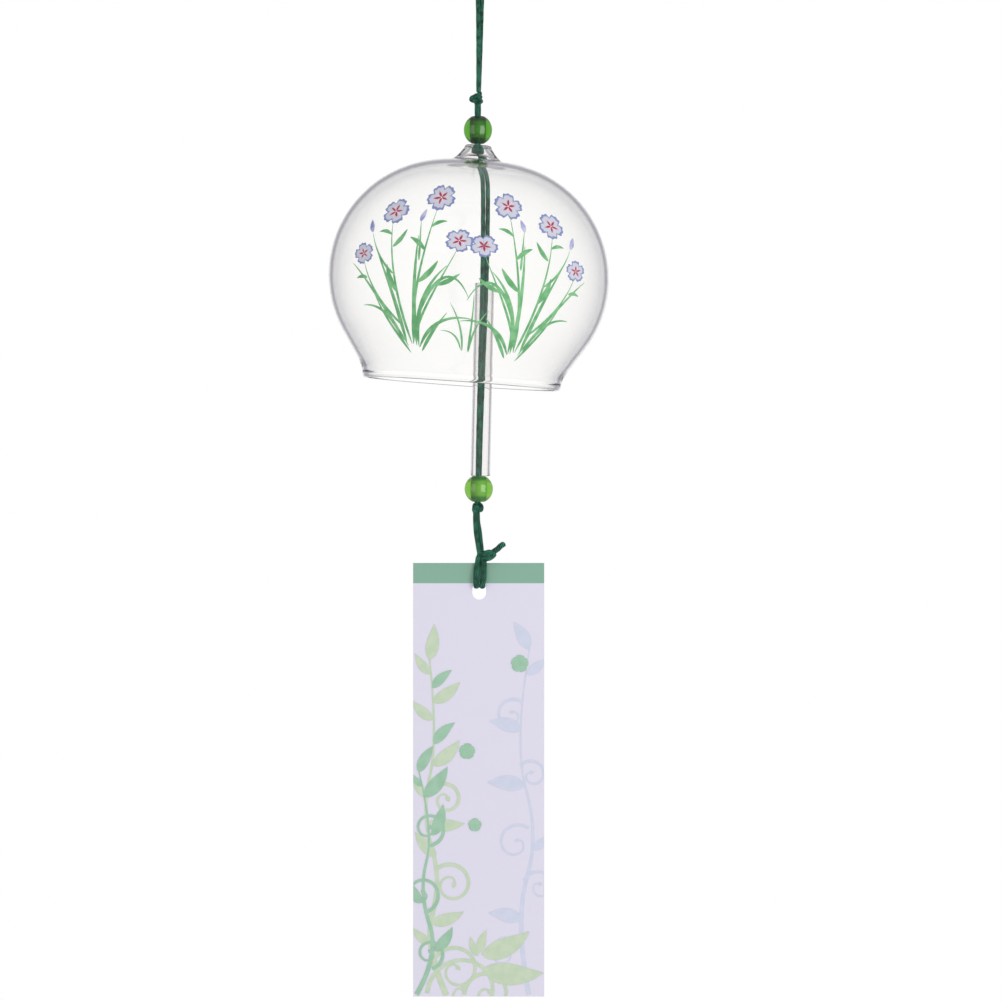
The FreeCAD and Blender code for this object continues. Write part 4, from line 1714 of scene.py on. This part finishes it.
@dataclass
class Studio:
    """The pale floor, the soft light and the camera at the photograph's angle."""

    distance: float = 1.42
    lens: float = 179.0
    sensor: float = 36.0
    clip: Flat = (0.01, 20.0)
    look_x: float = 0.0058
    look_z: float = -0.1825
    aim: Point = (0.0, 0.0, -0.16)
    floor_z: float = -0.5
    floor_radius: float = 0.7
    world_soft: Point = (0.67, 0.66, 0.69)
    world_deep: Point = (0.30, 0.285, 0.33)
    world_front: Point = (0.50, 0.50, 0.49)
    world_behind: Point = (0.42, 0.41, 0.45)
    through_glass: float = 1.11
    boxes: tuple[SoftBox, ...] = (
        SoftBox("window", (-0.75, -0.95, 0.15), (0.5, 0.9), 0.8),
        SoftBox("fill", (0.75, -0.85, 0.1), (0.4, 0.7), 4.2),
        SoftBox("bead_shine", (0.66, -0.86, -0.14), (0.75, 1.3), 10.5, for_beads=True),
        SoftBox("bead_fill", (-0.80, -0.72, -0.10), (0.75, 1.3), 4.0, for_beads=True),
    )

    def floor(self) -> None:
        """A round pale floor, well below the strip."""
        bm = bmesh.new()
        bmesh.ops.create_circle(bm, cap_ends=True, segments=96, radius=self.floor_radius / MM)
        bmesh.ops.translate(bm, verts=bm.verts, vec=(0, 0, self.floor_z / MM))
        new_piece("floor", bm, [StudioWhite().make()], smooth=False)

    def world(self) -> None:
        """White where the camera looks, and a room round the object for the glass to bend and mirror.

        Plain light comes from a soft room. What the glass bends comes from a white room with a dark ceiling
        and floor, a little brighter, and what it mirrors from one that is dark but for its back wall.
        """
        world = bpy.data.worlds.new("soft_room")
        bpy.context.scene.world = world
        n = Nodes(world, "OutputWorld")
        x, y, z = n.split("Generated")
        path = n.add("LightPath").outputs
        sideways = n.math("MAXIMUM", n.math("ABSOLUTE", x), n.math("ABSOLUTE", y))
        soft = n.ramp(sideways, [(0.80, self.world_soft), (0.985, WHITE)])
        deep = n.ramp(n.math("ABSOLUTE", z), [(0.45, WHITE), (0.80, self.world_deep)])
        front, behind = self.world_front, self.world_behind
        mirrored = n.ramp(y, [(0.36, front), (0.72, behind), (0.93, behind), (0.985, WHITE)])
        seen = n.mix(path["Is Transmission Ray"], soft, deep)
        lit = n.mix(path["Glossy Depth"], seen, mirrored)
        colour = n.mix(path["Is Camera Ray"], lit, (*WHITE, 1.0))
        strength = n.math("MULTIPLY_ADD", path["Is Transmission Ray"], self.through_glass - 1.0, 1.0)
        background = n.add("Background", {"Color": colour, "Strength": strength})
        n.link(background.outputs["Background"], n.output.inputs["Surface"])

    def light(self, box: SoftBox, beads: list[Piece]) -> None:
        """Hang one soft box, aimed at the middle of the object.

        Args:
            box: The soft box.
            beads: The only pieces that a box of the beads' own lights and shows in as a highlight.
        """
        lamp = bpy.data.lights.new(box.name, "AREA")
        lamp.shape = "RECTANGLE"
        lamp.size, lamp.size_y = box.size
        lamp.energy = box.power
        holder = bpy.data.objects.new(box.name, lamp)
        holder.location = box.spot
        holder.rotation_euler = (Vector(self.aim) - Vector(box.spot)).to_track_quat("-Z", "Y").to_euler()
        holder.visible_glossy = box.for_beads
        holder.visible_transmission = False
        if box.for_beads:
            lit = bpy.data.collections.new(f"{box.name}_on")
            for bead in beads:
                lit.objects.link(bead)
            holder.light_linking.receiver_collection = lit
        bpy.context.scene.collection.objects.link(holder)

    def camera(self) -> None:
        """Stand the camera level with the middle of the hanging line."""
        data = bpy.data.cameras.new("camera")
        data.lens = self.lens
        data.sensor_width = self.sensor
        data.clip_start, data.clip_end = self.clip
        holder = bpy.data.objects.new("camera", data)
        holder.location = (self.look_x, -self.distance, self.look_z)
        holder.rotation_euler = (math.radians(90), 0, 0)
        bpy.context.scene.collection.objects.link(holder)
        bpy.context.scene.camera = holder

    def build(self, beads: list[Piece]) -> None:
        """Set up the whole studio.

        Args:
            beads: The pieces that get a highlight of their own.
        """
        self.floor()
        self.world()
        for box in self.boxes:
            self.light(box, beads)
        self.camera()
        view = bpy.context.scene.view_settings
        view.view_transform = "Standard"
        view.look = "None"
        view.exposure = 0.0
        view.gamma = 1.0


# All of it


def beads() -> list[Bead]:
    """The bead over the glass and the one under its tube."""
    upper = Bead("bead_over_bell", "top_bead", Body.UPPER_BEAD, (-0.63, 0.0, -76.798), tall=1.06)
    return [upper, Bead("bead_under_tube", "lower_bead", Body.STOP_BEAD, (-0.4, 0.0, -179.199), pale=True)]


def knots() -> list[Knot]:
    """List the knots.

    Returns:
        The knots, from the top one down.
    """
    return [
        Knot("knot_over_bead", "top_knot", Body.HANGER, (-0.68, 0.0, -68.1), (1.05, 0.9, 1.3), [
            [(0.1, 0.0, 1.95), (0.7, -0.35, 1.75), (0.5, -1.15, 1.1), (-0.9, -1.1, 0.75),
             (-1.95, -0.3, 0.35), (-1.75, 0.7, -0.2), (-0.4, 1.15, -0.5), (0.85, 0.7, -0.45),
             (1.0, -0.4, -0.55), (0.1, -1.1, -0.75), (-1.0, -0.8, -0.35), (-1.3, 0.1, 0.5),
             (-0.6, 0.8, 1.1), (0.5, 0.7, 1.0), (0.95, -0.1, 0.5)],
            [(-0.9, 0.4, 0.9), (-0.3, -0.5, 1.45), (0.55, -1.1, 0.4), (0.75, -0.9, -0.7),
             (0.1, -0.6, -1.35), (-0.6, 0.2, -1.2), (-0.2, 0.6, -0.8)],
        ]),
        Knot("knot_in_throat", "neck_knot", Body.NECK, (-0.72, 0.0, -83.65), (1.35, 1.3, 1.25), [
            [(0.0, 0.0, 1.2), (1.2, -0.5, 0.9), (0.9, -1.1, 0.1), (-0.6, -1.3, -0.4),
             (-1.5, 0.0, -0.2), (-0.7, 1.25, 0.3), (0.8, 1.2, 0.4), (1.45, 0.1, -0.1),
             (0.5, -1.0, -0.9), (-0.3, 0.0, -1.2)],
            [(0.2, 0.6, 1.0), (-0.9, 0.4, 1.1), (-1.3, -0.6, 0.5), (-0.3, -1.4, 0.5),
             (1.0, -1.0, -0.5), (1.1, 0.5, -0.9), (-0.2, 1.2, -0.8), (-1.1, 0.6, -0.7)],
        ]),
        Knot("wrap_under_knot", "neck_wrap", Body.WRAP, (0.2, 0.0, -86.4), (0.7, 0.7, 0.6), [
            [(-0.6, 0.1, 0.0), (-0.35, -0.6, 0.05), (0.4, -0.55, 0.0), (0.6, 0.2, -0.15),
             (0.0, 0.6, -0.35), (-0.45, 0.1, -0.55)],
        ]),
        Knot("stop_knot_cord", "lower_knot", Body.STOP_KNOT, (-0.85, 0.0, -184.911), (0.95, 0.9, 1.1), [
            [(0.2, 0.1, 1.6), (0.9, -0.3, 1.2), (1.35, -0.7, 0.45), (1.1, -0.8, -0.45),
             (0.4, -0.7, -0.2), (0.3, -0.6, 0.7), (-0.5, -0.8, 0.7), (-0.95, -0.4, -0.1),
             (-0.7, 0.4, -0.8), (0.1, 0.9, -0.5), (0.9, 0.5, 0.2), (0.5, 0.1, 0.9)],
            [(-0.5, 0.3, 1.5), (-0.85, -0.2, 0.8), (-0.8, -0.5, 0.0), (-0.65, -0.3, -1.2)],
        ]),
        Knot("strip_tie", "strip_knot", Body.STRIP_LINE, (0.43, 0.0, -198.011), (0.95, 0.85, 0.8), [
            [(-0.9, -0.1, 1.0), (0.1, -0.85, 0.95), (1.0, -0.75, 0.3), (1.0, 0.3, -0.3),
             (0.2, 0.95, -0.5), (-0.8, 0.6, -0.4), (-0.85, -0.5, 0.0), (0.1, -1.15, 0.15),
             (1.3, -1.3, 0.75), (2.3, -1.6, 1.05), (3.1, -1.75, 0.45), (3.0, -1.9, -0.6),
             (2.2, -1.75, -1.2), (1.2, -1.35, -1.0), (0.5, -0.8, -0.5)],
            [(0.6, -1.1, 0.2), (1.4, -1.45, -0.1), (2.3, -1.9, -0.1), (3.2, -2.0, 0.1)],
        ]),
    ]


def cord_pairs() -> list[CordPair]:
    """List the doubled stretches of cord.

    Returns:
        The stretches, from the top one down.
    """
    return [
        CordPair("neck_strand", "neck_cord", Body.NECK_LINE, 69.9, 83.65, [
            (0.0, -0.68, 24), (0.26, -0.66, 21), (0.52, -0.64, 20), (0.78, -0.67, 16), (1.0, -0.72, 15),
        ], tuck_top=0.6),
        CordPair("inner_strand", "inner_cord", Body.CLAPPER_LINE, 86.4, 183.111, [
            (0.0, 0.3, 62), (0.022, 1.0, 70), (0.05, 1.5, 80), (0.12, 1.55, 78), (0.347, 1.3, 55),
            (0.8, -0.2, 25), (0.93, -0.4, 20), (1.0, -0.75, 20),
        ], tuck_bottom=0.6, declared=True),
        CordPair("lower_strand", "lower_cord", Body.STRIP_LINE, 184.911, 198.011, [
            (0.0, -1.05, 25), (0.25, -1.1, 32), (0.48, -0.7, 52), (0.72, -0.32, 48), (1.0, 0.2, 30),
        ]),
    ]


def main() -> None:
    """Build every piece and report each one."""
    logging.basicConfig(level=logging.INFO, format="%(message)s")
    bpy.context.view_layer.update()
    finishes = Finishes()
    bell = GlassBell()
    bell.build(finishes)
    Meadow(bell).build(finishes)
    lit_beads = [bead.build(finishes) for bead in beads()]
    paper = PaperStrip()
    cord = [HangingLoop(), *cord_pairs(), *knots(), StripLoop(), CutTails()]
    for part in (ClapperTube(), *cord, paper, Scrollwork(paper)):
        part.build(finishes)
    Studio().build(lit_beads)


if __name__ == "__main__":
    main()
